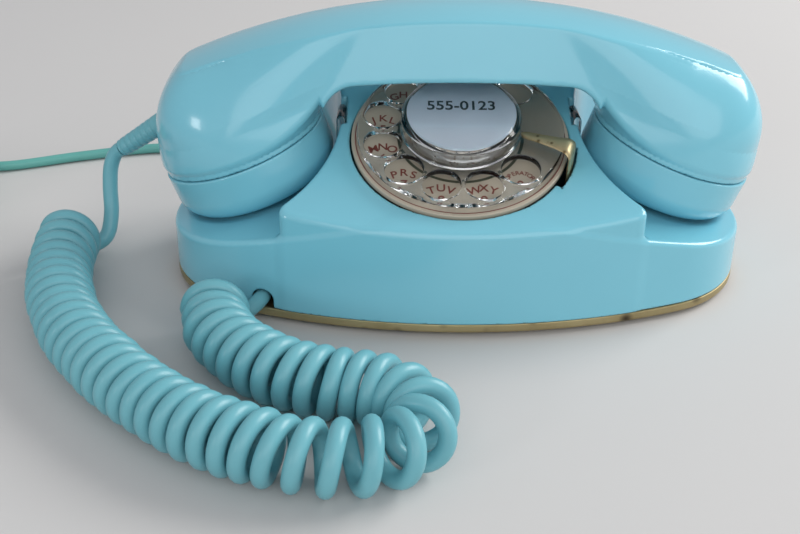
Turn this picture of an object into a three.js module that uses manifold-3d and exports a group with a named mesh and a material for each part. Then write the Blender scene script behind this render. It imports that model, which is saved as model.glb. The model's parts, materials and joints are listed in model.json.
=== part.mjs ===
// A compact bedroom telephone with a rotary dial, as an assembly of its separate pieces.
// Millimetres. +Z is up, +X is the right hand of someone who dials, and -Y is towards them.
// The origin is on the table, under the middle of the set.
import * as THREE from 'three';
import { ConvexGeometry } from 'three/addons/geometries/ConvexGeometry.js';
import { mergeVertices } from 'three/addons/utils/BufferGeometryUtils.js';
import Module from 'manifold-3d';

const wasm = await Module();
wasm.setup();

// ---------------------------------------------------------------- driving dimensions
const GAP = 0.3;                     // left between pieces that touch
const RUNNING_GAP = 0.4;             // left between a moving piece and what guides it

const BASE_HALF_LENGTH = 102.4;      // oval foot print, made of four arcs
const BASE_HALF_WIDTH = 52.8;
const BASE_END_RADIUS = 41;
const FOOT_HEIGHT = 1.5;             // how far the feet lift the base plate
const FOOT_RADIUS = 6.5;
const PLATE_RIM_HEIGHT = 3.4;
const SHEET_METAL = 1.2;
const SHELL_WALL = 2.5;

const FACE_TILT = THREE.MathUtils.degToRad(20.7);   // dial face against the table
const FACE_FRONT_HEIGHT = 38.6;      // face height at the front of the foot print
const CREST_Y = 24.6;                // where the face starts to turn over to the back
const CREST_RADIUS = 16;
const BACK_SLOPE = THREE.MathUtils.degToRad(62);
const FLANK_RADIUS = 59.5;           // hollow sides of the raised middle
const FLANK_REACH = 41.5;            // half width of the raised middle at its waist
const FLANK_CORNER = 5;
const LEDGE_DROP = 10;               // cradle ledge at LEDGE_X, below the front of the face
const LEDGE_HEIGHT = FACE_FRONT_HEIGHT - LEDGE_DROP;
const LEDGE_X = 75;
const LEDGE_SLOPE = THREE.MathUtils.degToRad(14);

const DIAL_Y = -10.8;                // centre of the dial, on the face
const PLATE_RADIUS = 37.6;           // number plate
const WHEEL_MARGIN = 2;              // number plate that shows round the finger wheel
const WHEEL_RADIUS = PLATE_RADIUS - WHEEL_MARGIN;
const WHEEL_LEVEL = 3.0;             // underside of the finger wheel above the face
const WHEEL_THICKNESS = 2.4;
const HOLE_COUNT = 10;
const HOLE_PITCH = THREE.MathUtils.degToRad(30);
const HOLE_RIM = 1.8;                // left between a finger hole and the wheel's edge
const HOLE_LAND = 1.886;             // left between two finger holes
const HOLE_STEP = Math.sin(HOLE_PITCH / 2);          // half way to the next hole, on a unit circle
const HOLE_CIRCLE = (WHEEL_RADIUS - HOLE_RIM + HOLE_LAND / 2) / (1 + HOLE_STEP);
const HOLE_RADIUS = HOLE_CIRCLE * HOLE_STEP - HOLE_LAND / 2;
const FIRST_HOLE = THREE.MathUtils.degToRad(45);
const STOP_ANGLE = THREE.MathUtils.degToRad(-12);
const HUB_MARGIN = 1;                // between the clear cover and the finger holes
const HUB_RADIUS = HOLE_CIRCLE - HOLE_RADIUS - HUB_MARGIN;
const HUB_TOP = 13.4;                // top of the clear cover above the face
const CARD_MARGIN = 2.1;             // clear cover that shows round the card
const CARD_RADIUS = HUB_RADIUS - CARD_MARGIN;
const SHAFT_RADIUS = 3;
const GEAR_MODULE = 0.8;
const MAIN_TEETH = 42;
const PINION_TEETH = 14;
const SECOND_TEETH = 20;
const GOVERNOR_TEETH = 20;
const GEAR_THICKNESS = 2;

const HANDSET_Y = 3.4;               // middle plane of the handset
const CAP_RADIUS = 30;
const CAP_X = 76.5;                  // centre of the seam between shell and cap
const CAP_RISE = 9.5;                // of that centre above the front of the face
const CAP_Z = FACE_FRONT_HEIGHT + CAP_RISE;
const CAP_TILT = THREE.MathUtils.degToRad(20.3);
const CAP_DEPTH = 18;
const CAP_ROUNDING = 8.6;
const CAP_WALL = 2.4;
const CAP_CLEARANCE = 0.8;           // between a cap and the cradle it rests in
const HANDLE_RISE = 28.7;            // of the handle's underside above the seam centre
const HANDLE_HEIGHT = 19.6;
const HANDLE_TOP = CAP_Z + HANDLE_RISE + HANDLE_HEIGHT;   // crease between band and side, at mid length
const HANDLE_TOP_RADIUS = 240;
const HANDLE_BOTTOM = CAP_Z + HANDLE_RISE;
const HANDLE_BOTTOM_RADIUS = 400;
const BAND_HALF_WIDTH = 15.5;
const BAND_CROWN = 1.8;
const HANDLE_HALF_WIDTH = 21;
const HANDLE_WALL = 2.8;

const PLUNGER_WIDTH = 12;
const PLUNGER_THICKNESS = 3.2;
const PLUNGER_RISE = 11.5;           // of their tops above the seam centre
const PLUNGER_TOP = CAP_Z + PLUNGER_RISE;
const LEVER_ARM = 20;                // from the hook lever's pivot to the plungers

const HANDSET_CORD = 5.6;            // diameters
const COIL_DIAMETER = 23;
const LINE_CORD = 4.2;
const STORAGE_COIL_RADIUS = 25;      // middle of the turns of the put away line cord

// ---------------------------------------------------------------- solids
function solidOf(geometry) {
  const bare = geometry.clone();
  for (const name of Object.keys(bare.attributes)) {
    if (name !== 'position') bare.deleteAttribute(name);
  }
  const merged = mergeVertices(bare, 1e-4);
  return new wasm.Manifold(new wasm.Mesh({
    numProp: 3,
    vertProperties: new Float32Array(merged.attributes.position.array),
    triVerts: new Uint32Array(merged.index.array),
  }));
}

function geometryOf(solid) {
  const mesh = solid.getMesh();
  const geometry = new THREE.BufferGeometry();
  geometry.setAttribute('position', new THREE.BufferAttribute(mesh.vertProperties, 3));
  geometry.setIndex(new THREE.BufferAttribute(mesh.triVerts, 1));
  geometry.computeVertexNormals();
  return geometry;
}

function unite(first, ...rest) {
  return rest.reduce((whole, piece) => whole.add(piece), first);
}

function cut(first, ...rest) {
  return rest.reduce((whole, piece) => whole.subtract(piece), first);
}

// A box between two opposite corners.
function block(x0, y0, z0, x1, y1, z1) {
  const geometry = new THREE.BoxGeometry(x1 - x0, y1 - y0, z1 - z0);
  return solidOf(geometry.translate((x0 + x1) / 2, (y0 + y1) / 2, (z0 + z1) / 2));
}

// An upright cylinder or cone from z0 to z1.
function post(x, y, z0, z1, radius, sides = 24, topRadius = radius) {
  const geometry = new THREE.CylinderGeometry(topRadius, radius, z1 - z0, sides);
  return solidOf(geometry.rotateX(Math.PI / 2).translate(x, y, (z0 + z1) / 2));
}

// A cylinder along X or Y between two values of that axis.
function rod(axis, from, to, a, b, radius, sides = 16) {
  const geometry = new THREE.CylinderGeometry(radius, radius, to - from, sides);
  if (axis === 'x') {
    return solidOf(geometry.rotateZ(Math.PI / 2).translate((from + to) / 2, a, b));
  }
  return solidOf(geometry.translate(a, (from + to) / 2, b));
}

// A turned piece: the outline is [radius, z] points and is closed on the axis or on itself.
function turned(outline, sides = 48) {
  const points = outline.map(([r, z]) => new THREE.Vector2(r, z));
  points.push(points[0].clone());
  const geometry = new THREE.LatheGeometry(points, sides).rotateX(Math.PI / 2);
  const solid = solidOf(geometry);
  return solid.volume() < 0 ? solidOf(flipped(geometry)) : solid;
}

function flipped(geometry) {
  const index = geometry.index.array;
  for (let i = 0; i < index.length; i += 3) {
    [index[i], index[i + 1]] = [index[i + 1], index[i]];
  }
  return geometry;
}

// A plan shape pulled up from z0 to z1.
function pulled(shape, z0, z1, curveSegments = 12) {
  const geometry = new THREE.ExtrudeGeometry(shape, {
    depth: z1 - z0, bevelEnabled: false, curveSegments,
  });
  return solidOf(geometry.translate(0, 0, z0));
}

// A closed outline of [y, z] points pulled along X.
function pulledAlongX(outline, x0, x1) {
  const shape = new THREE.Shape(outline.map(([y, z]) => new THREE.Vector2(y, z)));
  const geometry = new THREE.ExtrudeGeometry(shape, { depth: x1 - x0, bevelEnabled: false });
  geometry.rotateX(Math.PI / 2).rotateZ(Math.PI / 2);
  return solidOf(geometry.translate(x0, 0, 0));
}

// A closed outline of [x, z] points pulled along Y.
function pulledAlongY(outline, y0, y1) {
  const shape = new THREE.Shape(outline.map(([x, z]) => new THREE.Vector2(x, z)));
  const geometry = new THREE.ExtrudeGeometry(shape, { depth: y1 - y0, bevelEnabled: false });
  return solidOf(geometry.rotateX(Math.PI / 2).translate(0, y1, 0));
}

// A round cord of a few sides through a list of points.
function cordSolid(points, diameter, steps, sides) {
  const section = new THREE.Shape();
  for (let i = 0; i < sides; i += 1) {
    const angle = (i / sides) * 2 * Math.PI;
    const x = Math.cos(angle) * diameter / 2;
    const y = Math.sin(angle) * diameter / 2;
    if (i === 0) section.moveTo(x, y);
    else section.lineTo(x, y);
  }
  section.closePath();
  const path = new THREE.CatmullRomCurve3(points.map((p) => new THREE.Vector3(...p)));
  return solidOf(new THREE.ExtrudeGeometry(section, { steps, extrudePath: path }));
}

// ---------------------------------------------------------------- finishes
const finish = (color, roughness, metalness = 0, extra = {}) => (
  new THREE.MeshStandardMaterial({ color, roughness, metalness, ...extra }));
const AQUA = finish(0x7cc3d0, 0.22);
const AQUA_CORD = finish(0x78bcc8, 0.45);
const LINE_GREEN = finish(0x6fb8ae, 0.45);
const CHROMATE = finish(0xb39b62, 0.45, 0.8);
const BRASS = finish(0xb59d5e, 0.35, 0.9);
const STEEL = finish(0xa9abad, 0.4, 0.9);
const COPPER = finish(0xa85f38, 0.45, 0.6);
const CREAM = finish(0xb9b2a2, 0.5);
const CARD = finish(0xb9cbe2, 0.6);
const CLEAR = finish(0xdfe8ea, 0.08, 0, { transparent: true, opacity: 0.35 });
const RUBBER = finish(0x2c2b2a, 0.85);
const PHENOLIC = finish(0x3a2f28, 0.5);
const NYLON = finish(0xd9d6cb, 0.6);

const telephone = new THREE.Group();
const dial = new THREE.Group();
const faceHeightAt = (y) => FACE_FRONT_HEIGHT + (y + BASE_HALF_WIDTH) * Math.tan(FACE_TILT);
dial.position.set(0, DIAL_Y, faceHeightAt(DIAL_Y));
dial.rotation.x = FACE_TILT;
telephone.add(dial);

function piece(name, solid, material, parent = telephone) {
  const mesh = new THREE.Mesh(geometryOf(solid), material);
  mesh.name = name;
  parent.add(mesh);
  return mesh;
}

// ---------------------------------------------------------------- outlines of the base
// The oval has two small end arcs and two large side arcs that share their tangents.
const END_CENTRE = BASE_HALF_LENGTH - BASE_END_RADIUS;
const SIDE_RADIUS = (END_CENTRE ** 2 + BASE_HALF_WIDTH ** 2 - BASE_END_RADIUS ** 2)
  / (2 * (BASE_HALF_WIDTH - BASE_END_RADIUS));
const SIDE_CENTRE = SIDE_RADIUS - BASE_HALF_WIDTH;
const SIDE_HALF_ANGLE = Math.atan2(END_CENTRE, SIDE_CENTRE);
const OVAL_STEPS = 13;               // straight pieces in each of the four arcs

function ovalShape(inset) {
  const end = BASE_END_RADIUS - inset;
  const side = SIDE_RADIUS - inset;
  const quarter = Math.PI / 2;
  const turn = SIDE_HALF_ANGLE;
  const shape = new THREE.Shape();
  shape.absarc(END_CENTRE, 0, end, turn - quarter, quarter - turn, false);
  shape.absarc(0, -SIDE_CENTRE, side, quarter - turn, quarter + turn, false);
  shape.absarc(-END_CENTRE, 0, end, quarter + turn, 3 * quarter - turn, false);
  shape.absarc(0, SIDE_CENTRE, side, 3 * quarter - turn, 3 * quarter + turn, false);
  return shape;
}

// The height of the oval's front or back edge at a place along X.
function ovalEdge(x, inset = 0) {
  const end = BASE_END_RADIUS - inset;
  const side = SIDE_RADIUS - inset;
  const beyond = Math.abs(x) - END_CENTRE;
  const joint = side * Math.sin(SIDE_HALF_ANGLE);
  if (Math.abs(x) > joint) return Math.sqrt(Math.max(end ** 2 - beyond ** 2, 0));
  return Math.sqrt(side ** 2 - x ** 2) - SIDE_CENTRE;
}

// Centre of the rounding where the raised middle's side meets the front (-1) or back (+1).
const FLANK_CENTRE_X = FLANK_REACH + FLANK_RADIUS;
function cornerCentre(end) {
  const centre = new THREE.Vector2(0, -end * SIDE_CENTRE);
  const flank = new THREE.Vector2(FLANK_CENTRE_X, HANDSET_Y);
  const r0 = SIDE_RADIUS - FLANK_CORNER;
  const r1 = FLANK_RADIUS + FLANK_CORNER;
  const apart = flank.clone().sub(centre);
  const d = apart.length();
  const along = (r0 ** 2 - r1 ** 2 + d ** 2) / (2 * d);
  const across = Math.sqrt(r0 ** 2 - along ** 2);
  const unit = apart.normalize();
  const normal = new THREE.Vector2(-unit.y, unit.x).multiplyScalar(end);
  return centre.addScaledVector(unit, along).addScaledVector(normal, across);
}

// Plan of what is cut away beyond the right flank, with the wall's thickness as the inset.
function flankCutShape(inset) {
  const far = BASE_HALF_LENGTH + 20;
  const wide = BASE_HALF_WIDTH + 20;
  const corner = FLANK_CORNER - inset;
  const flank = FLANK_RADIUS + inset;
  const front = cornerCentre(-1);
  const back = cornerCentre(1);
  const angleTo = (from, x, y) => Math.atan2(y - from.y, x - from.x);
  const flankCentre = { x: FLANK_CENTRE_X, y: HANDSET_Y };
  const frontOut = angleTo({ x: 0, y: SIDE_CENTRE }, front.x, front.y);
  const frontIn = angleTo(front, flankCentre.x, flankCentre.y);
  const backOut = angleTo({ x: 0, y: -SIDE_CENTRE }, back.x, back.y);
  const backIn = angleTo(back, flankCentre.x, flankCentre.y);
  const shape = new THREE.Shape();
  shape.moveTo(front.x + corner * Math.cos(frontOut), -wide);
  shape.absarc(front.x, front.y, corner, frontOut, frontIn, false);
  shape.absarc(flankCentre.x, flankCentre.y, flank, frontIn + Math.PI, backIn + Math.PI, true);
  shape.absarc(back.x, back.y, corner, backIn, backOut, false);
  shape.lineTo(back.x + corner * Math.cos(backOut), wide);
  shape.lineTo(far, wide);
  shape.lineTo(far, -wide);
  return shape;
}

// Side view of the shell: the sloped face, the crest and the back, lowered by the inset.
function faceOutline(inset) {
  const low = -10;
  const wide = BASE_HALF_WIDTH + 10;
  const drop = inset / Math.cos(FACE_TILT);
  const centre = {
    y: CREST_Y + CREST_RADIUS * Math.sin(FACE_TILT),
    z: faceHeightAt(CREST_Y) - CREST_RADIUS * Math.cos(FACE_TILT),
  };
  const radius = CREST_RADIUS - inset;
  const outline = [[-wide, low], [-wide, faceHeightAt(-wide) - drop]];
  const steps = 6;
  for (let i = 0; i <= steps; i += 1) {
    const angle = -FACE_TILT + (i / steps) * (FACE_TILT + BACK_SLOPE);
    outline.push([centre.y + radius * Math.sin(angle), centre.z + radius * Math.cos(angle)]);
  }
  const [lastY, lastZ] = outline[outline.length - 1];
  outline.push([wide, lastZ - (wide - lastY) * Math.tan(BACK_SLOPE)]);
  outline.push([wide, low]);
  return outline.reverse();
}

// ---------------------------------------------------------------- handset caps
// A cap's own frame: +Z runs along its axis out of the ear piece, 0 is the seam.
function placedAtCap(solid, side) {
  const matrix = new THREE.Matrix4().makeTranslation(side * CAP_X, HANDSET_Y, CAP_Z);
  const turn = side > 0 ? Math.PI + CAP_TILT : Math.PI - CAP_TILT;
  matrix.multiply(new THREE.Matrix4().makeRotationY(turn));
  return solid.transform(matrix.elements);
}

function capOutline(grow) {
  const radius = CAP_RADIUS + grow;
  const depth = CAP_DEPTH + grow;
  const rounding = CAP_ROUNDING + grow;
  const outline = [[0, -grow], [radius, -grow]];
  const steps = 5;
  for (let i = 0; i <= steps; i += 1) {
    const angle = (i / steps) * Math.PI / 2;
    outline.push([
      radius - rounding + rounding * Math.cos(angle),
      depth - rounding + rounding * Math.sin(angle),
    ]);
  }
  outline.push([0, depth]);
  return outline;
}

// ---------------------------------------------------------------- housing
const HOUSING_BOTTOM = FOOT_HEIGHT + PLATE_RIM_HEIGHT + GAP;
const PLATE_FLOOR = FOOT_HEIGHT + SHEET_METAL;
const SEAT = PLATE_FLOOR + GAP;      // where the inner pieces stand

function housingBody(inset) {
  const bottom = inset > 0 ? HOUSING_BOTTOM - 5 : HOUSING_BOTTOM;
  const tall = faceHeightAt(BASE_HALF_WIDTH) + 10;
  const far = BASE_HALF_LENGTH + 30;
  let body = pulled(ovalShape(inset), bottom, tall, OVAL_STEPS);
  body = body.intersect(pulledAlongX(faceOutline(inset), -far, far));
  const above = new THREE.BoxGeometry(2 * far, 2 * far, tall).translate(0, 0, tall / 2);
  above.rotateY(LEDGE_SLOPE);
  above.translate(LEDGE_X, 0, LEDGE_HEIGHT - inset / Math.cos(LEDGE_SLOPE));
  const flankCut = pulled(flankCutShape(inset), 0, tall, 8).intersect(solidOf(above));
  const seat = turned(capOutline(CAP_CLEARANCE + inset), 32);
  return cut(body, flankCut, flankCut.mirror([1, 0, 0]), placedAtCap(seat, 1), placedAtCap(seat, -1));
}

// A slice of a ring about the dial's axis, in the dial's own frame.
function ringSlice(inner, outer, low, high, from, to) {
  const shape = new THREE.Shape();
  shape.absarc(0, 0, outer, from, to, false);
  shape.absarc(0, 0, inner, to, from, true);
  return pulled(shape, low, high, 8);
}
dial.updateMatrix();
const inDial = (solid) => solid.transform(dial.matrix.elements);

const STOP_RADIUS = PLATE_RADIUS + 0.7;      // inside of the finger stop's upright
const STOP_SHEET = 1.2;
const STOP_SPAN = THREE.MathUtils.degToRad(20);
const STOP_LEVEL = HUB_TOP - 5.4;            // underside of the arm above the face
const STOP_FOOT = -5;
const FACE_DEPTH = 8;                        // how deep the dial opening is cut

const HANDSET_CORD_X = -67.5;                // arch for the handset cord, in the front wall
const HANDSET_ARCH_RADIUS = HANDSET_CORD / 2 + 0.9;
const HANDSET_ARCH_HEIGHT = 8.1;
const LINE_CORD_X = -38;                     // arch for the line cord, in the back wall
const LINE_ARCH_HEIGHT = 9;
const GROMMET_RADIUS = LINE_CORD / 2 + 1.9;
const BOSS_INSET = 9.4;                      // from the end of the foot print
const BOSS_X = BASE_HALF_LENGTH - BOSS_INSET; // screw posts at both ends
const BOSS_Y = 18;
const BOSS_RADIUS = 3.6;
const BOSS_TOP = 20;
const SCREW_RADIUS = 1.4;
const PLUNGER_BACK = FLANK_REACH - 1.6;      // inner face of the plungers
const PLUNGER_FOOT = 49.4;                   // how far out their feet reach under the caps

function arch(x, radius, crown, y0, y1) {
  const low = FOOT_HEIGHT;
  return unite(
    rod('y', y0, y1, x, crown, radius, 20),
    block(x - radius, y0, low, x + radius, y1, crown),
  );
}

function buildHousing() {
  let shell = housingBody(0).subtract(housingBody(SHELL_WALL));
  for (const side of [-1, 1]) {
    const boss = post(side * BOSS_X, BOSS_Y, HOUSING_BOTTOM, BOSS_TOP, BOSS_RADIUS, 16);
    const within = pulled(ovalShape(SHELL_WALL / 2), HOUSING_BOTTOM, BOSS_TOP + 1, OVAL_STEPS);
    shell = shell.add(boss.intersect(within));
    shell = shell.subtract(post(side * BOSS_X, BOSS_Y, 0, BOSS_TOP - 3, SCREW_RADIUS + GAP, 12));
    const slot = side > 0
      ? block(PLUNGER_BACK - RUNNING_GAP, HANDSET_Y - PLUNGER_WIDTH / 2 - RUNNING_GAP, HOUSING_BOTTOM,
        PLUNGER_FOOT + RUNNING_GAP, HANDSET_Y + PLUNGER_WIDTH / 2 + RUNNING_GAP, 90)
      : block(-PLUNGER_FOOT - RUNNING_GAP, HANDSET_Y - PLUNGER_WIDTH / 2 - RUNNING_GAP, HOUSING_BOTTOM,
        -PLUNGER_BACK + RUNNING_GAP, HANDSET_Y + PLUNGER_WIDTH / 2 + RUNNING_GAP, 90);
    shell = shell.subtract(slot);
  }
  const opening = post(0, 0, -FACE_DEPTH, FACE_DEPTH, PLATE_RADIUS + 0.5, 48);
  const notch = ringSlice(PLATE_RADIUS - 4, STOP_RADIUS + STOP_SHEET + 1, -FACE_DEPTH, FACE_DEPTH,
    STOP_ANGLE - STOP_SPAN - 0.04, STOP_ANGLE + 0.12);
  const frontArch = arch(HANDSET_CORD_X, HANDSET_ARCH_RADIUS, HANDSET_ARCH_HEIGHT,
    -BASE_HALF_WIDTH - 5, -ovalEdge(HANDSET_CORD_X) + SHELL_WALL + 4);
  const backArch = arch(LINE_CORD_X, GROMMET_RADIUS + GAP, LINE_ARCH_HEIGHT,
    ovalEdge(LINE_CORD_X) - SHELL_WALL - 4, BASE_HALF_WIDTH + 5);
  return cut(shell, inDial(opening), inDial(notch), frontArch, backArch);
}
piece('housing', buildHousing(), AQUA);

// ---------------------------------------------------------------- base plate and feet
const FOOT_PLACES = [[-66, -26], [66, -26], [66, 26], [-66, 26]];
const FOOT_NECK = 2.1;
const VOLUME_WHEEL = { x: -26, y: -24, radius: 9, thickness: 3 };

function buildBasePlate() {
  const rimTop = FOOT_HEIGHT + PLATE_RIM_HEIGHT;
  let plate = pulled(ovalShape(0), FOOT_HEIGHT, rimTop, OVAL_STEPS);
  plate = plate.subtract(pulled(ovalShape(SHEET_METAL), PLATE_FLOOR, rimTop + 5, OVAL_STEPS));
  for (const [x, y] of FOOT_PLACES) {
    plate = plate.subtract(post(x, y, 0, 10, FOOT_NECK + GAP, 16));
  }
  for (const side of [-1, 1]) {
    plate = plate.subtract(post(side * BOSS_X, BOSS_Y, 0, 10, SCREW_RADIUS + GAP, 12));
  }
  const { x, y, radius } = VOLUME_WHEEL;
  plate = plate.subtract(block(x - 5, y - radius - 2, 0, x + 5, y, 10));
  return plate;
}
piece('base_plate', buildBasePlate(), CHROMATE);

FOOT_PLACES.forEach(([x, y], i) => {
  const below = FOOT_HEIGHT - GAP;
  const head = PLATE_FLOOR + GAP;
  const foot = turned([
    [0, 0], [FOOT_RADIUS - 0.5, 0], [FOOT_RADIUS, 0.5], [FOOT_RADIUS, below],
    [FOOT_NECK, below], [FOOT_NECK, head], [FOOT_NECK + 1.1, head + 0.4], [1.2, head + 1.6],
    [0, head + 1.6],
  ], 14);
  const name = ['front_left', 'front_right', 'back_right', 'back_left'][i];
  piece(`foot_${name}`, foot, RUBBER).position.set(x, y, 0);
});

for (const side of [-1, 1]) {
  const headBottom = 0.4;
  const headTop = FOOT_HEIGHT - GAP;
  const screw = unite(
    post(0, 0, headBottom, headTop, SCREW_RADIUS * 2, 16),
    post(0, 0, headTop - 0.1, BOSS_TOP - 4, SCREW_RADIUS, 12),
  );
  const name = side < 0 ? 'housing_screw_left' : 'housing_screw_right';
  piece(name, screw, STEEL).position.set(side * BOSS_X, BOSS_Y, 0);
}

// ---------------------------------------------------------------- dial, in its own frame
// Levels are heights above the housing's face along the dial's axis.
function buildNumberPlate() {
  const rim = PLATE_RADIUS - 1.7;
  return turned([
    [SHAFT_RADIUS + 3, -0.6], [PLATE_RADIUS, -0.6], [PLATE_RADIUS, 1.4], [rim, 1.4],
    [rim - 0.4, 0.6], [SHAFT_RADIUS + 3, 0.6],
  ], 48);
}
piece('number_plate', buildNumberPlate(), CREAM, dial);

const holeAngles = Array.from({ length: HOLE_COUNT }, (_, i) => FIRST_HOLE + i * HOLE_PITCH);

function buildFingerWheel() {
  const shape = new THREE.Shape();
  for (let quarter = 0; quarter < 4; quarter += 1) {
    const from = quarter * Math.PI / 2;
    shape.absarc(0, 0, WHEEL_RADIUS, from, from + Math.PI / 2, false);
  }
  for (const angle of holeAngles) {
    const hole = new THREE.Path();
    const x = HOLE_CIRCLE * Math.cos(angle);
    const y = HOLE_CIRCLE * Math.sin(angle);
    hole.absarc(x, y, HOLE_RADIUS, 0, 2 * Math.PI, true);
    shape.holes.push(hole);
  }
  const bore = new THREE.Path();
  bore.absarc(0, 0, SHAFT_RADIUS + 2, 0, 2 * Math.PI, true);
  shape.holes.push(bore);
  return pulled(shape, WHEEL_LEVEL, WHEEL_LEVEL + WHEEL_THICKNESS, 14);
}
piece('finger_wheel', buildFingerWheel(), CLEAR, dial);

const WHEEL_TOP = WHEEL_LEVEL + WHEEL_THICKNESS;
const COVER_WALL = 1.8;
const COVER_ROOF = 0.8;
piece('card_cover', turned([
  [HUB_RADIUS, WHEEL_TOP + GAP], [HUB_RADIUS, HUB_TOP - 1.2], [HUB_RADIUS - 1.2, HUB_TOP], [0, HUB_TOP],
  [0, HUB_TOP - COVER_ROOF], [CARD_RADIUS + GAP, HUB_TOP - COVER_ROOF],
  [CARD_RADIUS + GAP, WHEEL_TOP + GAP],
], 32), CLEAR, dial);
const CARD_TOP = HUB_TOP - COVER_ROOF - GAP;
piece('dial_card', post(0, 0, CARD_TOP - 0.5, CARD_TOP, CARD_RADIUS, 32), CARD, dial);
const RETAINER_TOP = CARD_TOP - 0.5 - GAP;
const RETAINER_RADIUS = CARD_RADIUS - 0.5;
piece('card_retainer', turned([
  [0, RETAINER_TOP], [0, RETAINER_TOP - 0.8], [RETAINER_RADIUS - 0.8, RETAINER_TOP - 0.8],
  [RETAINER_RADIUS - 0.8, WHEEL_TOP + GAP], [RETAINER_RADIUS, WHEEL_TOP + GAP],
  [RETAINER_RADIUS, RETAINER_TOP],
], 24), STEEL, dial);

// The main shaft carries the finger wheel in front and the main gear behind.
const REAR_PLATE = -21;
const FRONT_PLATE = -4.4;
const FRAME_SHEET = 1.6;
const MAIN_GEAR_LEVEL = -8.6;
const SECOND_GEAR_LEVEL = -12.4;
const CAM_LEVEL = -16;
const SHAFT_FLANGE = WHEEL_TOP + GAP;
piece('main_shaft', unite(
  post(0, 0, REAR_PLATE - 1, 0, SHAFT_RADIUS, 20),
  post(0, 0, -0.2, SHAFT_FLANGE + 1.4, SHAFT_RADIUS + 2 - GAP, 24),
  post(0, 0, SHAFT_FLANGE, SHAFT_FLANGE + 1.4, SHAFT_RADIUS + 6, 24),
), STEEL, dial);

function gearSolid(teeth, level, thickness, bore, phase) {
  const pitch = GEAR_MODULE * teeth / 2;
  const root = pitch - 1.3 * GEAR_MODULE;
  const tip = pitch + 0.8 * GEAR_MODULE;
  const step = 2 * Math.PI / teeth;
  const rootHalf = step * 0.27;
  const tipHalf = step * 0.1;
  const shape = new THREE.Shape();
  for (let i = 0; i < teeth; i += 1) {
    const middle = phase + i * step;
    const corners = [[root, -rootHalf], [tip, -tipHalf], [tip, tipHalf], [root, rootHalf]];
    corners.forEach(([r, turn], corner) => {
      const x = r * Math.cos(middle + turn);
      const y = r * Math.sin(middle + turn);
      if (i === 0 && corner === 0) shape.moveTo(x, y);
      else shape.lineTo(x, y);
    });
  }
  shape.closePath();
  if (bore > 0) {
    const hole = new THREE.Path();
    hole.absarc(0, 0, bore, 0, 2 * Math.PI, true);
    shape.holes.push(hole);
  }
  return pulled(shape, level, level + thickness, 8);
}

// Each axle stands where its gear meets the one before it.
const SECOND_DIRECTION = THREE.MathUtils.degToRad(200);
const GOVERNOR_DIRECTION = THREE.MathUtils.degToRad(95);
const SECOND_DISTANCE = GEAR_MODULE * (MAIN_TEETH + PINION_TEETH) / 2;
const GOVERNOR_DISTANCE = GEAR_MODULE * (SECOND_TEETH + GOVERNOR_TEETH) / 2;
const SECOND_AXLE = [
  SECOND_DISTANCE * Math.cos(SECOND_DIRECTION), SECOND_DISTANCE * Math.sin(SECOND_DIRECTION)];
const GOVERNOR_AXLE = [
  SECOND_AXLE[0] + GOVERNOR_DISTANCE * Math.cos(GOVERNOR_DIRECTION),
  SECOND_AXLE[1] + GOVERNOR_DISTANCE * Math.sin(GOVERNOR_DIRECTION)];
const AXLE_RADIUS = 1.1;
const gapToward = (direction, teeth) => direction + Math.PI + Math.PI / teeth;

piece('main_gear',
  gearSolid(MAIN_TEETH, MAIN_GEAR_LEVEL, GEAR_THICKNESS, SHAFT_RADIUS + GAP, SECOND_DIRECTION),
  BRASS, dial);

const CAM_HALF = [4, 1.6];
const secondGear = unite(
  gearSolid(PINION_TEETH, MAIN_GEAR_LEVEL - 0.4, GEAR_THICKNESS + 0.8, 0,
    gapToward(SECOND_DIRECTION, PINION_TEETH)),
  gearSolid(SECOND_TEETH, SECOND_GEAR_LEVEL, GEAR_THICKNESS, 0, GOVERNOR_DIRECTION),
  post(0, 0, CAM_LEVEL, MAIN_GEAR_LEVEL, 2.2, 16),
  block(-CAM_HALF[0], -CAM_HALF[1], CAM_LEVEL, ...CAM_HALF, CAM_LEVEL + 1.6),
  post(0, 0, REAR_PLATE - 0.6, FRONT_PLATE + FRAME_SHEET, AXLE_RADIUS, 12),
);
piece('pulse_gear', secondGear, BRASS, dial).position.set(...SECOND_AXLE, 0);

const DRUM_RADIUS = 8;
const governor = unite(
  gearSolid(GOVERNOR_TEETH, SECOND_GEAR_LEVEL - 0.4, GEAR_THICKNESS + 0.8, 0,
    gapToward(GOVERNOR_DIRECTION, GOVERNOR_TEETH)),
  block(-5.6, -1.2, CAM_LEVEL - 0.8, 5.6, 1.2, CAM_LEVEL + 0.8),
  block(-6.4, -2.6, CAM_LEVEL - 1.4, -4, 2.6, CAM_LEVEL + 1.4),
  block(4, -2.6, CAM_LEVEL - 1.4, 6.4, 2.6, CAM_LEVEL + 1.4),
  post(0, 0, REAR_PLATE - 0.6, FRONT_PLATE + FRAME_SHEET, AXLE_RADIUS, 12),
);
piece('governor', governor, BRASS, dial).position.set(...GOVERNOR_AXLE, 0);
piece('governor_drum', turned([
  [AXLE_RADIUS + RUNNING_GAP, REAR_PLATE + FRAME_SHEET + GAP],
  [DRUM_RADIUS + 0.8, REAR_PLATE + FRAME_SHEET + GAP], [DRUM_RADIUS + 0.8, CAM_LEVEL + 2],
  [DRUM_RADIUS, CAM_LEVEL + 2], [DRUM_RADIUS, REAR_PLATE + FRAME_SHEET + GAP + 0.8],
  [AXLE_RADIUS + RUNNING_GAP, REAR_PLATE + FRAME_SHEET + GAP + 0.8],
], 32), STEEL, dial).position.set(...GOVERNOR_AXLE, 0);

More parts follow.
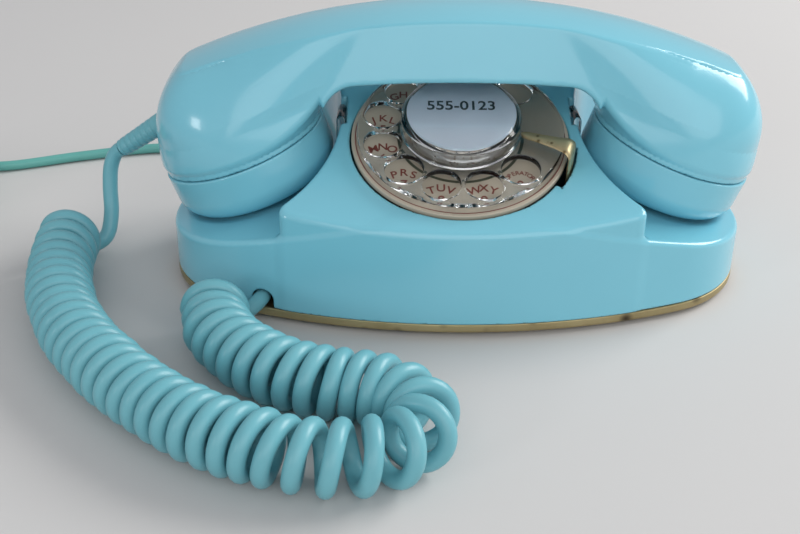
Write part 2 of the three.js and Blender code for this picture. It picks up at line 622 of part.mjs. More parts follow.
const SPRING_RADIUS = 8;
piece('return_spring', turned([
  [SHAFT_RADIUS + RUNNING_GAP, CAM_LEVEL - 2], [SPRING_RADIUS, CAM_LEVEL - 2],
  [SPRING_RADIUS, SECOND_GEAR_LEVEL + 2], [SHAFT_RADIUS + RUNNING_GAP, SECOND_GEAR_LEVEL + 2],
], 32), STEEL, dial);

const FRAME_MARGIN = 4.6;                     // of the number plate round the works
const FRAME_RADIUS = PLATE_RADIUS - FRAME_MARGIN;
const LAMP = [17, -19];
const LAMP_RADIUS = 3.4;
const FRAME_POSTS = [20, 110, 275].map((deg) => THREE.MathUtils.degToRad(deg));
function buildDialFrame() {
  let frame = unite(
    post(0, 0, FRONT_PLATE, FRONT_PLATE + FRAME_SHEET, FRAME_RADIUS, 32),
    post(0, 0, REAR_PLATE, REAR_PLATE + FRAME_SHEET, FRAME_RADIUS, 32),
  );
  for (const angle of FRAME_POSTS) {
    const x = (FRAME_RADIUS - 3) * Math.cos(angle);
    const y = (FRAME_RADIUS - 3) * Math.sin(angle);
    frame = frame.add(post(x, y, REAR_PLATE, FRONT_PLATE + FRAME_SHEET, 2.2, 12));
    frame = frame.add(post(x, y, FRONT_PLATE, -0.6 - GAP, 2.2, 12));
  }
  return cut(frame,
    post(0, 0, REAR_PLATE - 2, 0, SHAFT_RADIUS + RUNNING_GAP, 20),
    post(...SECOND_AXLE, REAR_PLATE - 2, 0, AXLE_RADIUS + RUNNING_GAP, 12),
    post(...GOVERNOR_AXLE, REAR_PLATE - 2, 0, AXLE_RADIUS + RUNNING_GAP, 12),
    post(...LAMP, FRONT_PLATE - 1, 0, LAMP_RADIUS + 2, 20));
}
piece('dial_frame', buildDialFrame(), STEEL, dial);

const LAMP_FOOT = REAR_PLATE + FRAME_SHEET + GAP;
piece('lamp_socket', post(...LAMP, LAMP_FOOT, LAMP_FOOT + 7, LAMP_RADIUS + 1, 20), BRASS, dial);
piece('dial_lamp', turned([
  [0, LAMP_FOOT + 7 + GAP], [LAMP_RADIUS, LAMP_FOOT + 7 + GAP], [LAMP_RADIUS, LAMP_FOOT + 11],
  [LAMP_RADIUS - 1, LAMP_FOOT + 13], [0, LAMP_FOOT + 13.8],
], 20), CLEAR, dial).position.set(...LAMP, 0);

const BLADE_LENGTH = 7;
const CONTACT_BLOCK = [
  SECOND_AXLE[0] + 3, SECOND_AXLE[1] - BLADE_LENGTH - Math.hypot(...CAM_HALF) - RUNNING_GAP];
piece('pulse_contacts', unite(
  block(-3, -4, LAMP_FOOT, 3, 2, CAM_LEVEL + 3),
  block(-2.6, 0, CAM_LEVEL, -2.2, BLADE_LENGTH, CAM_LEVEL + 1.6),
  block(0.6, 0, CAM_LEVEL, 1, BLADE_LENGTH, CAM_LEVEL + 1.6),
), PHENOLIC, dial).position.set(...CONTACT_BLOCK, 0);

function buildFingerStop() {
  const upright = ringSlice(STOP_RADIUS, STOP_RADIUS + STOP_SHEET, STOP_FOOT, STOP_LEVEL + 1.4,
    STOP_ANGLE - STOP_SPAN, STOP_ANGLE + 0.06);
  const arm = block(HUB_RADIUS + 0.9, -2, STOP_LEVEL, STOP_RADIUS + 0.8, 2.2, STOP_LEVEL + 1.4);
  const turn = new THREE.Matrix4().makeRotationZ(STOP_ANGLE);
  return unite(upright, arm.transform(turn.elements));
}
piece('finger_stop', buildFingerStop(), BRASS, dial);

// ---------------------------------------------------------------- hook switch
const LEVER_Z = 22;
const LEVER_Y = HANDSET_Y + LEVER_ARM;
const LEVER_ROD = 1.2;
const LEVER_PIN = 1.5;
const LEVER_TUBE = 2.8;
const LEVER_HALF_WIDTH = 15;
const BRACKET_X = LEVER_HALF_WIDTH + 2;
const PLUNGER_BOTTOM = LEVER_Z + LEVER_ROD + RUNNING_GAP;

for (const side of [-1, 1]) {
  const outline = [
    [PLUNGER_BACK, PLUNGER_BOTTOM], [PLUNGER_FOOT, PLUNGER_BOTTOM], [PLUNGER_FOOT, 38],
    [46.4, 40.2], [PLUNGER_BACK + PLUNGER_THICKNESS, 43.8],
    [PLUNGER_BACK + PLUNGER_THICKNESS, PLUNGER_TOP - 1.2], [PLUNGER_BACK + 2.2, PLUNGER_TOP],
    [PLUNGER_BACK + 0.8, PLUNGER_TOP], [PLUNGER_BACK, PLUNGER_TOP - 0.8],
  ];
  const half = PLUNGER_WIDTH / 2;
  const plunger = pulledAlongY(outline, HANDSET_Y - half, HANDSET_Y + half);
  const name = side < 0 ? 'plunger_left' : 'plunger_right';
  piece(name, side < 0 ? plunger.mirror([1, 0, 0]) : plunger, CLEAR);
}

piece('switch_bracket', unite(
  block(-BRACKET_X - 1.2, LEVER_Y - 4, SEAT, BRACKET_X + 1.2, LEVER_Y + 12, SEAT + 1.2),
  ...[-1, 1].map((side) => cut(
    block(Math.min(side * BRACKET_X, side * (BRACKET_X + 1.2)), LEVER_Y - 4, SEAT,
      Math.max(side * BRACKET_X, side * (BRACKET_X + 1.2)), LEVER_Y + 4, LEVER_Z + 4),
    rod('x', side * BRACKET_X - 3, side * BRACKET_X + 3, LEVER_Y, LEVER_Z, LEVER_PIN + GAP, 16),
  )),
), STEEL);
piece('lever_pin', rod('x', -BRACKET_X - 2.2, BRACKET_X + 2.2, LEVER_Y, LEVER_Z, LEVER_PIN, 16), STEEL);
piece('hook_lever', cut(unite(
  rod('x', -PLUNGER_FOOT + 1.5, PLUNGER_FOOT - 1.5, HANDSET_Y, LEVER_Z, LEVER_ROD, 10),
  rod('x', -LEVER_HALF_WIDTH, LEVER_HALF_WIDTH, LEVER_Y, LEVER_Z, LEVER_TUBE, 20),
  ...[-1, 1].map((side) => block(side * 12 - 1.5, HANDSET_Y, LEVER_Z - 1, side * 12 + 1.5, LEVER_Y,
    LEVER_Z + 1)),
), rod('x', -LEVER_HALF_WIDTH - 1, LEVER_HALF_WIDTH + 1, LEVER_Y, LEVER_Z, LEVER_PIN + RUNNING_GAP, 16),
), STEEL);
piece('hook_contacts', unite(
  block(-7, LEVER_Y + 5, SEAT + 1.2 + GAP, 7, LEVER_Y + 11, LEVER_Z - 3),
  ...[-4, 0, 4].map((x) => block(x - 1, LEVER_Y + 7, LEVER_Z - 4, x + 1, LEVER_Y + 8, LEVER_Z + 6)),
), PHENOLIC);

// ---------------------------------------------------------------- ringer
const GONG = { x: -66, y: 2, radius: 21, low: 8, high: 18 };
const RINGER_FLOOR = SEAT + 1.4;
const COIL = { x: -33, z: 13, radius: 7.4, half: 12 };
const CLAPPER_PIVOT = [-34, 24];
const CLAPPER_BALL = [-49.5, 21.6];
piece('ringer_frame', cut(unite(
  block(-72, -16, SEAT, -24, 16, RINGER_FLOOR),
  block(-42, 15, SEAT, -24, 30, RINGER_FLOOR),
  post(GONG.x, GONG.y, SEAT, GONG.high - 1.4 - GAP, 3.2, 16),
  block(COIL.x - 3, -COIL.half - 3, SEAT, COIL.x + 3, -COIL.half - GAP, COIL.z + 5),
  block(COIL.x - 3, COIL.half + GAP, SEAT, COIL.x + 3, COIL.half + 2, COIL.z + 5),
), post(GONG.x, GONG.y, RINGER_FLOOR + 4, GONG.high + 5, 1.6 + GAP, 12),
post(...FOOT_PLACES[0], 0, RINGER_FLOOR + 3, FOOT_NECK + 1.6, 16),
post(VOLUME_WHEEL.x, VOLUME_WHEEL.y, 0, 20, VOLUME_WHEEL.radius + RUNNING_GAP, 24)), STEEL);
piece('ringer_coil', rod('y', -COIL.half, COIL.half, COIL.x, COIL.z, COIL.radius, 24), COPPER);
piece('gong', turned([
  [2, GONG.high], [2, GONG.high - 1.4], [12, GONG.high - 1.4], [GONG.radius - 4, GONG.high - 2.8],
  [GONG.radius - 1.4, GONG.high - 6], [GONG.radius - 1.4, GONG.low], [GONG.radius, GONG.low],
  [GONG.radius, GONG.high - 5.4], [GONG.radius - 3, GONG.high - 1.4], [13, GONG.high],
], 28), BRASS).position.set(GONG.x, GONG.y, 0);
piece('gong_screw', unite(
  post(0, 0, GONG.high + GAP, GONG.high + 2, 3.4, 16),
  post(0, 0, RINGER_FLOOR + 5, GONG.high + 1, 1.6, 12),
), STEEL).position.set(GONG.x, GONG.y, 0);

function buildClapper() {
  const [x, y] = CLAPPER_PIVOT;
  const [bx, by] = CLAPPER_BALL;
  const low = RINGER_FLOOR + RUNNING_GAP;
  const arm = new THREE.BoxGeometry(Math.hypot(bx - x, by - y), 1.6, 1.6);
  arm.rotateZ(Math.atan2(by - y, bx - x)).translate((x + bx) / 2, (y + by) / 2, low + 6);
  return cut(unite(
    post(x, y, low, low + 8, 3, 16),
    solidOf(arm),
    post(bx, by, low + 3, low + 9, 2, 12),
  ), post(x, y, low - 1, low + 9, 1.4 + RUNNING_GAP, 12));
}
piece('clapper', buildClapper(), STEEL);
piece('clapper_pin', post(...CLAPPER_PIVOT, RINGER_FLOOR + GAP, RINGER_FLOOR + 10, 1.4, 12), STEEL);
piece('volume_wheel', cut(
  post(VOLUME_WHEEL.x, VOLUME_WHEEL.y, SEAT, SEAT + VOLUME_WHEEL.thickness, VOLUME_WHEEL.radius, 24),
  post(VOLUME_WHEEL.x, VOLUME_WHEEL.y, 0, 20, 2 + RUNNING_GAP, 12),
), NYLON);
piece('volume_pin', post(VOLUME_WHEEL.x, VOLUME_WHEEL.y, SEAT, SEAT + VOLUME_WHEEL.thickness + 2, 2, 12),
  STEEL);

// ---------------------------------------------------------------- network and cord anchors
const NETWORK = { x0: 46, x1: 84, y0: -17, y1: 17, top: SEAT + 14 };
piece('network_block',
  block(NETWORK.x0, NETWORK.y0, SEAT, NETWORK.x1, NETWORK.y1, NETWORK.top), PHENOLIC);
const terminalXs = [0, 1, 2, 3, 4].map((i) => NETWORK.x0 + 5 + i * 7);
piece('terminal_strip', unite(
  block(NETWORK.x0 + 1, -14, NETWORK.top + GAP, NETWORK.x1 - 1, -7, NETWORK.top + 1.6),
  ...terminalXs.map((x) => post(x, -10.5, NETWORK.top + 1, NETWORK.top + 3, 2, 10)),
), STEEL);

const LINE_EXIT_Y = ovalEdge(LINE_CORD_X);
const gland = { inner: LINE_EXIT_Y - SHELL_WALL - 3, outer: LINE_EXIT_Y + 3.5 };
piece('line_cord_grommet', cut(
  rod('y', gland.inner, gland.outer, LINE_CORD_X, LINE_ARCH_HEIGHT, GROMMET_RADIUS, 20),
  rod('y', gland.inner - 1, gland.outer + 1, LINE_CORD_X, LINE_ARCH_HEIGHT, LINE_CORD / 2 + GAP, 12),
), RUBBER);
const HANDSET_EXIT_Y = -ovalEdge(HANDSET_CORD_X);
const ANCHOR_Y = HANDSET_EXIT_Y + 9;
piece('handset_cord_anchor', block(HANDSET_CORD_X - 4, ANCHOR_Y, SEAT, HANDSET_CORD_X + 4,
  ANCHOR_Y + 3, 13), STEEL);

// ---------------------------------------------------------------- handset
const arcHeight = (top, radius, x) => top - radius + Math.sqrt(radius ** 2 - x ** 2);

// A closed skin over rings of points that lie one after another along X.
function lofted(rings) {
  const count = rings[0].length;
  const positions = rings.flat(2);
  const triangles = [];
  for (let i = 0; i + 1 < rings.length; i += 1) {
    for (let j = 0; j < count; j += 1) {
      const a = i * count + j;
      const b = i * count + ((j + 1) % count);
      triangles.push(a, b, a + count, b, b + count, a + count);
    }
  }
  [0, rings.length - 1].forEach((i) => {
    const middle = positions.length / 3;
    const ring = rings[i];
    for (let axis = 0; axis < 3; axis += 1) {
      positions.push(ring.reduce((sum, point) => sum + point[axis], 0) / count);
    }
    for (let j = 0; j < count; j += 1) {
      const a = i * count + j;
      const b = i * count + ((j + 1) % count);
      if (i === 0) triangles.push(middle, b, a);
      else triangles.push(middle, a, b);
    }
  });
  const geometry = new THREE.BufferGeometry();
  geometry.setAttribute('position', new THREE.Float32BufferAttribute(positions, 3));
  geometry.setIndex(triangles);
  const solid = solidOf(geometry);
  return solid.volume() < 0 ? solidOf(flipped(geometry)) : solid;
}

// The handle's section at one place along X: crowned band, sloped sides, rounded underside.
function handleSection(x, inset) {
  const top = arcHeight(HANDLE_TOP, HANDLE_TOP_RADIUS, x) - inset;
  const bottom = arcHeight(HANDLE_BOTTOM, HANDLE_BOTTOM_RADIUS, x) + inset;
  const band = BAND_HALF_WIDTH - inset * 0.7;
  const wide = HANDLE_HALF_WIDTH - inset;
  const half = [
    [band * 0.55, top + BAND_CROWN * 0.7], [band, top], [wide - 1.4, bottom + (top - bottom) * 0.45],
    [wide, bottom + 4], [wide - 1, bottom + 1.2], [wide - 3.5, bottom],
  ];
  return [
    [x, HANDSET_Y, top + BAND_CROWN],
    ...half.map(([y, z]) => [x, HANDSET_Y + y, z]),
    ...half.reverse().map(([y, z]) => [x, HANDSET_Y - y, z]),
  ];
}

const HANDLE_END = 47;               // where the handle runs into the bowls at both ends
const BOWL_RINGS = [[30, 0.15], [30.2, 6], [28.8, 12], [26, 19], [21.5, 25]];

// The bowl over one cap, as the hull of its rings, the handle's end and the end of the band.
function bowl(side, inset) {
  const points = [];
  const place = new THREE.Matrix4().makeTranslation(side * CAP_X, HANDSET_Y, CAP_Z);
  place.multiply(new THREE.Matrix4().makeRotationY(side > 0 ? Math.PI + CAP_TILT : Math.PI - CAP_TILT));
  const sides = 26;
  BOWL_RINGS.forEach(([radius, above], ring) => {
    const level = ring === 0 && inset > 0 ? 2 : -above + (ring > 2 ? inset : 0);
    for (let i = 0; i < sides; i += 1) {
      const angle = (i / sides) * 2 * Math.PI;
      const r = radius - inset;
      const point = new THREE.Vector3(r * Math.cos(angle), r * Math.sin(angle), level);
      points.push(point.applyMatrix4(place));
    }
  });
  for (const [x, y, z] of handleSection(side * (HANDLE_END - inset), inset)) {
    points.push(new THREE.Vector3(x, y, z));
  }
  for (const along of [60, 75, 88, 97]) {
    const x = along - (along > 90 ? inset : 0);
    const top = arcHeight(HANDLE_TOP, HANDLE_TOP_RADIUS, x) - inset;
    const half = (BAND_HALF_WIDTH - along * 0.015) - inset * 0.7;
    points.push(new THREE.Vector3(side * x, HANDSET_Y, top + BAND_CROWN));
    points.push(new THREE.Vector3(side * x, HANDSET_Y + half, top));
    points.push(new THREE.Vector3(side * x, HANDSET_Y - half, top));
  }
  return solidOf(new ConvexGeometry(points));
}

function handsetBody(inset) {
  const stations = Array.from({ length: 9 }, (_, i) => -HANDLE_END + (i / 8) * 2 * HANDLE_END);
  const handle = lofted(stations.map((x) => handleSection(x, inset)));
  return unite(handle, bowl(-1, inset), bowl(1, inset));
}

const RELIEF_ROOT = new THREE.Vector3(-102.5, 15.5, CAP_Z + 4.9);
const RELIEF_TIP = new THREE.Vector3(-124.5, 19.5, CAP_Z - 10.6);
const RELIEF_ROOT_RADIUS = 4.3;
const RELIEF_TIP_RADIUS = HANDSET_CORD / 2 + 0.5;

// A cone or cylinder between two points.
function strut(from, to, radius, endRadius, sides) {
  const along = to.clone().sub(from);
  const geometry = new THREE.CylinderGeometry(endRadius, radius, along.length(), sides);
  geometry.applyQuaternion(new THREE.Quaternion().setFromUnitVectors(
    new THREE.Vector3(0, 1, 0), along.clone().normalize()));
  const middle = from.clone().add(to).multiplyScalar(0.5);
  return solidOf(geometry.translate(middle.x, middle.y, middle.z));
}

const reliefHole = strut(RELIEF_ROOT, RELIEF_TIP, RELIEF_ROOT_RADIUS + GAP, RELIEF_ROOT_RADIUS + GAP, 16);
piece('handset_shell', cut(handsetBody(0), handsetBody(HANDLE_WALL), reliefHole), AQUA);
piece('handset_strain_relief', strut(RELIEF_ROOT, RELIEF_TIP, RELIEF_ROOT_RADIUS, RELIEF_TIP_RADIUS, 16),
  AQUA_CORD);

function buildCap(side, holeRings) {
  const inner = CAP_RADIUS - CAP_WALL;
  const steps = 4;
  const hollow = [[0, -1], [inner, -1]];
  for (let i = 0; i <= steps; i += 1) {
    const angle = (i / steps) * Math.PI / 2;
    const rounding = CAP_ROUNDING - CAP_WALL;
    hollow.push([inner - rounding + rounding * Math.cos(angle),
      CAP_DEPTH - CAP_WALL - rounding + rounding * Math.sin(angle)]);
  }
  hollow.push([0, CAP_DEPTH - CAP_WALL]);
  const skin = capOutline(0).map(([r, t]) => [r, Math.max(t, GAP / 2)]);
  let cap = turned(skin, 36).subtract(turned(hollow, 28));
  for (const [count, radius] of holeRings) {
    for (let i = 0; i < count; i += 1) {
      const angle = (i / count) * 2 * Math.PI;
      const x = radius * Math.cos(angle);
      const y = radius * Math.sin(angle);
      cap = cap.subtract(post(x, y, CAP_DEPTH - CAP_WALL - 1, CAP_DEPTH + 1, 1.2, 6));
    }
  }
  return placedAtCap(cap, side);
}
piece('receiver_cap', buildCap(1, [[1, 0], [6, 6]]), AQUA);
piece('transmitter_cap', buildCap(-1, [[1, 0], [8, 8]]), AQUA);

const UNIT_RADIUS = CAP_RADIUS - CAP_WALL - 4;
const UNIT_TOP = CAP_DEPTH - CAP_WALL - 1;
piece('receiver_unit', placedAtCap(unite(
  post(0, 0, UNIT_TOP - 5, UNIT_TOP, UNIT_RADIUS, 36),
  post(0, 0, UNIT_TOP - 16, UNIT_TOP - 4.8, UNIT_RADIUS - 9, 24),
), 1), STEEL);
piece('transmitter_unit', placedAtCap(unite(
  post(0, 0, UNIT_TOP - 5, UNIT_TOP, UNIT_RADIUS, 36),
  post(0, 0, UNIT_TOP - 8, UNIT_TOP - 4.8, UNIT_RADIUS - 7, 24),
), -1), BRASS);
piece('transmitter_cup', placedAtCap(turned([
  [0, UNIT_TOP - 12], [UNIT_RADIUS, UNIT_TOP - 12], [UNIT_RADIUS, UNIT_TOP - 5 - GAP],
  [UNIT_RADIUS - 1.6, UNIT_TOP - 5 - GAP], [UNIT_RADIUS - 1.6, UNIT_TOP - 10.4], [0, UNIT_TOP - 10.4],
], 32), -1), PHENOLIC);

// ---------------------------------------------------------------- handset cord
const reliefAxis = RELIEF_TIP.clone().sub(RELIEF_ROOT).normalize();
const beyondRelief = (far) => RELIEF_TIP.clone().addScaledVector(reliefAxis, far).toArray();
piece('handset_cord_lead', cordSolid([
  beyondRelief(GAP), beyondRelief(3), [-129.2, 19.2, 31], [-130, 16.8, 23], [-129.8, 13, 13.5],
  [-131.2, 8.6, 6.6], [-134.2, 5.8, 4.4],
], HANDSET_CORD, 14, 10), AQUA_CORD);
const COIL_Z = COIL_DIAMETER / 2 + 0.2;
piece('handset_cord_coil', cordSolid([
  [-142, 2], [-141.5, -10], [-140, -25], [-135.5, -45], [-125, -69], [-109, -91], [-94, -106.5],
  [-77, -120], [-62, -127.6], [-49, -132.2], [-36, -133.4], [-24, -130.6], [-15.6, -122.8], [-14.4, -112.4],
  [-21.6, -103.4], [-33, -99], [-45, -96.5], [-59, -90], [-71, -79.5], [-79.5, -66], [-82, -52.5],
].map(([x, y]) => [x, y, COIL_Z]), COIL_DIAMETER, 36, 10), AQUA_CORD);
piece('handset_cord_tail', cordSolid([
  [-75.2, -48.4, 5.2], [-72.2, -45.8, 6.3], [-69.4, -42.6, 7.4], [-67.8, -39, 8], [HANDSET_CORD_X, -35.6, 8.1],
  [HANDSET_CORD_X, ANCHOR_Y - GAP, 8.1],
], HANDSET_CORD, 10, 10), AQUA_CORD);

// ---------------------------------------------------------------- line cord, its coil and plug
const LINE_Z = LINE_CORD / 2 + 0.2;
const STORE = { x: -225, y: 44, low: 1.6, layers: 4, columns: 3 };
const bundleHalf = STORE.columns * LINE_CORD / 2 + 0.2;
const bundleTop = STORE.low + STORE.layers * LINE_CORD;
piece('line_cord_run', cordSolid([
  [LINE_CORD_X, gland.outer + GAP, LINE_ARCH_HEIGHT], [LINE_CORD_X, gland.outer + 7, 8],
  [LINE_CORD_X - 2, gland.outer + 16, 4.4], [LINE_CORD_X - 9, gland.outer + 28, LINE_Z],
  [-66, 91, LINE_Z], [-95, 100, LINE_Z], [-128, 101, LINE_Z], [-160, 92, LINE_Z],
  [-190, 81, LINE_Z], [-208, 79.6, 2.9],
  [STORE.x + 2, STORE.y + STORAGE_COIL_RADIUS + bundleHalf + LINE_CORD / 2 + GAP, 3.6],
], LINE_CORD, 26, 8), LINE_GREEN);
const inner = STORAGE_COIL_RADIUS - bundleHalf;
const outer = STORAGE_COIL_RADIUS + bundleHalf;
piece('line_cord_coil', turned([
  [inner, STORE.low + 2], [inner + 2, STORE.low], [outer - 2, STORE.low], [outer, STORE.low + 2],
  [outer, bundleTop - 2], [outer - 2, bundleTop], [inner + 2, bundleTop], [inner, bundleTop - 2],
], 24), LINE_GREEN).position.set(STORE.x, STORE.y, 0);
piece('cord_tie', cut(
  block(inner - 1.1, -2, STORE.low - 1.3, outer + 1.1, 2, bundleTop + 1.3),
  block(inner - GAP, -3, STORE.low - GAP, outer + GAP, 3, bundleTop + GAP),
), RUBBER).position.set(STORE.x, STORE.y, 0);
const PLUG = { x: -222, y: -7, z: 8, half: 15 };
const tailX = STORE.x - outer - LINE_CORD / 2 - GAP;
piece('line_cord_end', cordSolid([
  [tailX, STORE.y, 4], [tailX, STORE.y - 16, 3.2], [tailX + 2, STORE.y - 34, 3.4],
  [tailX + 8, STORE.y - 46, 5], [PLUG.x - PLUG.half - 7, PLUG.y - 0.4, 7.4],
  [PLUG.x - PLUG.half - GAP, PLUG.y, PLUG.z],
], LINE_CORD, 10, 8), LINE_GREEN);
piece('plug_body', cut(unite(
  block(PLUG.x - PLUG.half, PLUG.y - 8, 0.4, PLUG.x + PLUG.half, PLUG.y + 8, 15.6),
  block(PLUG.x - PLUG.half + 8, PLUG.y - 12, 0.2, PLUG.x + PLUG.half, PLUG.y + 12, 16.2),
), block(PLUG.x + PLUG.half - 1.2, PLUG.y - 10, 2, PLUG.x + PLUG.half + 1, PLUG.y + 10, 14)), NYLON);
piece('plug_prongs', unite(
  block(PLUG.x + PLUG.half - 0.9, PLUG.y - 9.6, 2.4, PLUG.x + PLUG.half - 0.1, PLUG.y + 9.6, 13.6),
  ...[[-6.5, 4.5], [6.5, 4.5], [-6.5, 11.5], [6.5, 11.5]].map(([y, z]) => (
    rod('x', PLUG.x + PLUG.half - 0.5, PLUG.x + PLUG.half + 13, PLUG.y + y, z, 1.9, 12))),
), BRASS);

export default telephone;
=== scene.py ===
# A compact bedroom telephone with a rotary dial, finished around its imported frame.
# Metres. +Z is up, +X is the right hand of someone who dials, and -Y is towards them.
import json
import math
from itertools import product

import bmesh
import bpy
import numpy as np
from mathutils import Matrix, Vector


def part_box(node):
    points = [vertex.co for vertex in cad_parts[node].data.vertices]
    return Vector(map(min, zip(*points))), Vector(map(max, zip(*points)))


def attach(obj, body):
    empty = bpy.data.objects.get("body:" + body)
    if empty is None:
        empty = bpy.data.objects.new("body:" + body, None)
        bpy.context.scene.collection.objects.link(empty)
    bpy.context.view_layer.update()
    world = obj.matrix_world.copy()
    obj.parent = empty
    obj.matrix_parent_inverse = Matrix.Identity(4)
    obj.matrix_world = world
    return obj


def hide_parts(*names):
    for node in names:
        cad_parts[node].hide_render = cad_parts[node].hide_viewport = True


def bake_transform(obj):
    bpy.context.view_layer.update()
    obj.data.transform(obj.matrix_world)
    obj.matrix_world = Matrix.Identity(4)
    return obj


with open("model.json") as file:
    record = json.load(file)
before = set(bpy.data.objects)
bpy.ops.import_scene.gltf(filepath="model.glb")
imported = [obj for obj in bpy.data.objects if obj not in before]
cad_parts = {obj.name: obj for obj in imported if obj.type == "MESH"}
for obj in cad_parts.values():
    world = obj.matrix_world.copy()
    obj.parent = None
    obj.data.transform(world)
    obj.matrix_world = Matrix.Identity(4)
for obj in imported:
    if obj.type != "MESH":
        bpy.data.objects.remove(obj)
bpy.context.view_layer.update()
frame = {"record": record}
MM = 0.001

# ---------- helpers
# What every section uses: new objects, plain meshes, a piece's place in the frame, and shader nodes.
shown_nodes = set()
slot_finishes = {}


def object_of(name, data):
    """A new object in the scene, around its data."""
    made = bpy.data.objects.new(name, data)
    bpy.context.scene.collection.objects.link(made)
    return made


def plain_mesh(piece):
    return bpy.data.meshes.new_from_object(piece.evaluated_get(bpy.context.evaluated_depsgraph_get()))


def made_plain(piece):
    """The same piece, with its modifiers applied and removed."""
    done = plain_mesh(piece)
    piece.modifiers.clear()
    piece.data = done
    return piece


def mesh_piece(name, points, faces, smooth=True):
    mesh = bpy.data.meshes.new(name)
    mesh.from_pydata([tuple(p) for p in points], [], [tuple(f) for f in faces])
    mesh.validate()
    if smooth:
        mesh.shade_smooth()
    return object_of(name, mesh)


def wears(piece, material):
    piece.data.materials.clear()
    piece.data.materials.append(material)


def stands_for(piece, *nodes):
    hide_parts(*nodes)
    shown_nodes.update(nodes)


def placed(piece, material, body, slot_name, *nodes):
    """Gives a piece its material, the nodes that it stands for and the body that it rides on, and notes the material
    as its slot's finish if that has none yet.
    """
    wears(piece, material)
    slot_finishes.setdefault(slot_name, material)
    if nodes:
        stands_for(piece, *nodes)
    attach(piece, body)
    return piece


def feed(tree, node, inputs):
    """Gives each input of a node its value, or links it to another node's output."""
    for socket, value in inputs.items():
        if isinstance(value, bpy.types.NodeSocket):
            tree.links.new(value, node.inputs[socket])
        else:
            node.inputs[socket].default_value = value


def add_node(tree, kind, inputs, **settings):
    node = tree.nodes.new(kind)
    for name, value in settings.items():
        setattr(node, name, value)
    feed(tree, node, inputs)
    return node


def add_math(tree, operation, *values, **settings):
    return add_node(tree, "ShaderNodeMath", dict(enumerate(values)), operation=operation, **settings).outputs[0]


def new_group(name, kind, inputs, outputs):
    """A node group with its named sockets: the group, what it is given and the node for its results."""
    tree = bpy.data.node_groups.new(name, kind)
    for direction, sockets in (("INPUT", inputs), ("OUTPUT", outputs)):
        for title, socket_kind in sockets.items():
            tree.interface.new_socket(title, in_out=direction, socket_type="NodeSocket" + socket_kind)
    return tree, tree.nodes.new("NodeGroupInput").outputs, tree.nodes.new("NodeGroupOutput")


# ---------- camera
# A long lens a little above and in front, looking down at the dial.
camera = object_of("camera", bpy.data.cameras.new("camera"))
bpy.context.scene.camera = camera
camera.data.lens = 54.7
camera.data.sensor_width = 36
camera.data.clip_start = 0.02
camera.location = (-0.02317, -0.40046, 0.2196)
pitch, yaw, roll = math.radians(28.963), math.radians(0.405), math.radians(0.432)
camera.matrix_world = (
    Matrix.Translation(camera.location)
    @ Matrix.Rotation(-yaw, 4, "Z")
    @ Matrix.Rotation(math.pi / 2 - pitch, 4, "X")
    @ Matrix.Rotation(roll, 4, "Z")
)

# ---------- surface effects and base plate
# The base is a tray of pressed steel with a yellow chromate finish, dulled and spotted with age. Its
# rim shows as a thin line under the housing.


def make_surface_wear():
    """Colour that drifts a little, smudged gloss and a fine grain for a bump."""
    tree, given, result = new_group(
        "surface_wear", "ShaderNodeTree",
        {"Color": "Color", "Tired Color": "Color", "Patch Size": "Float", "Patches": "Float", "Roughness": "Float",
         "Smudges": "Float", "Grain Size": "Float"},
        {"Color": "Color", "Roughness": "Float", "Height": "Float"},
    )
    where = add_node(tree, "ShaderNodeTexCoord", {}).outputs["Object"]
    patch, smudge, grain = (
        add_node(tree, "ShaderNodeTexNoise", {"Vector": where, "Scale": scale, "Detail": detail}).outputs
        for scale, detail in ((given["Patch Size"], 6), (110, 5), (given["Grain Size"], 2))
    )
    smudge["Fac"].node.inputs["Distortion"].default_value = 0.6
    spread = add_node(tree, "ShaderNodeMapRange", {"Value": patch["Fac"], "From Min": 0.38, "From Max": 0.72})
    share = add_math(tree, "MULTIPLY", spread.outputs["Result"], given["Patches"])
    mix = add_node(tree, "ShaderNodeMix", {"Factor": share, "A": given["Color"], "B": given["Tired Color"]},
                   data_type="RGBA")
    centred = add_math(tree, "SUBTRACT", smudge["Fac"], 0.5)
    rough = add_math(tree, "MULTIPLY_ADD", centred, given["Smudges"], given["Roughness"], use_clamp=True)
    feed(tree, result, {"Color": mix.outputs["Result"], "Roughness": rough, "Height": grain["Fac"]})
    return tree


def make_stain_spots():
    """A mask of small round spots and streaks, as tarnish makes."""
    tree, given, result = new_group(
        "stain_spots", "ShaderNodeTree", {"Spot Size": "Float", "Cover": "Float"}, {"Mask": "Float"})
    where = add_node(tree, "ShaderNodeTexCoord", {}).outputs["Object"]
    cells = add_node(tree, "ShaderNodeTexVoronoi", {"Vector": where, "Scale": given["Spot Size"]})
    streak = add_node(tree, "ShaderNodeTexNoise", {"Vector": where, "Scale": 90, "Detail": 8})
    limit = add_math(tree, "MULTIPLY", streak.outputs["Fac"], given["Cover"])
    less = add_math(tree, "SUBTRACT", cells.outputs["Distance"], limit)
    spot = add_node(tree, "ShaderNodeMapRange", {"Value": less, "From Min": 0.25, "From Max": 0.0})
    feed(tree, result, {"Mask": spot.outputs["Result"]})
    return tree


surface_wear = make_surface_wear()
stain_spots = make_stain_spots()


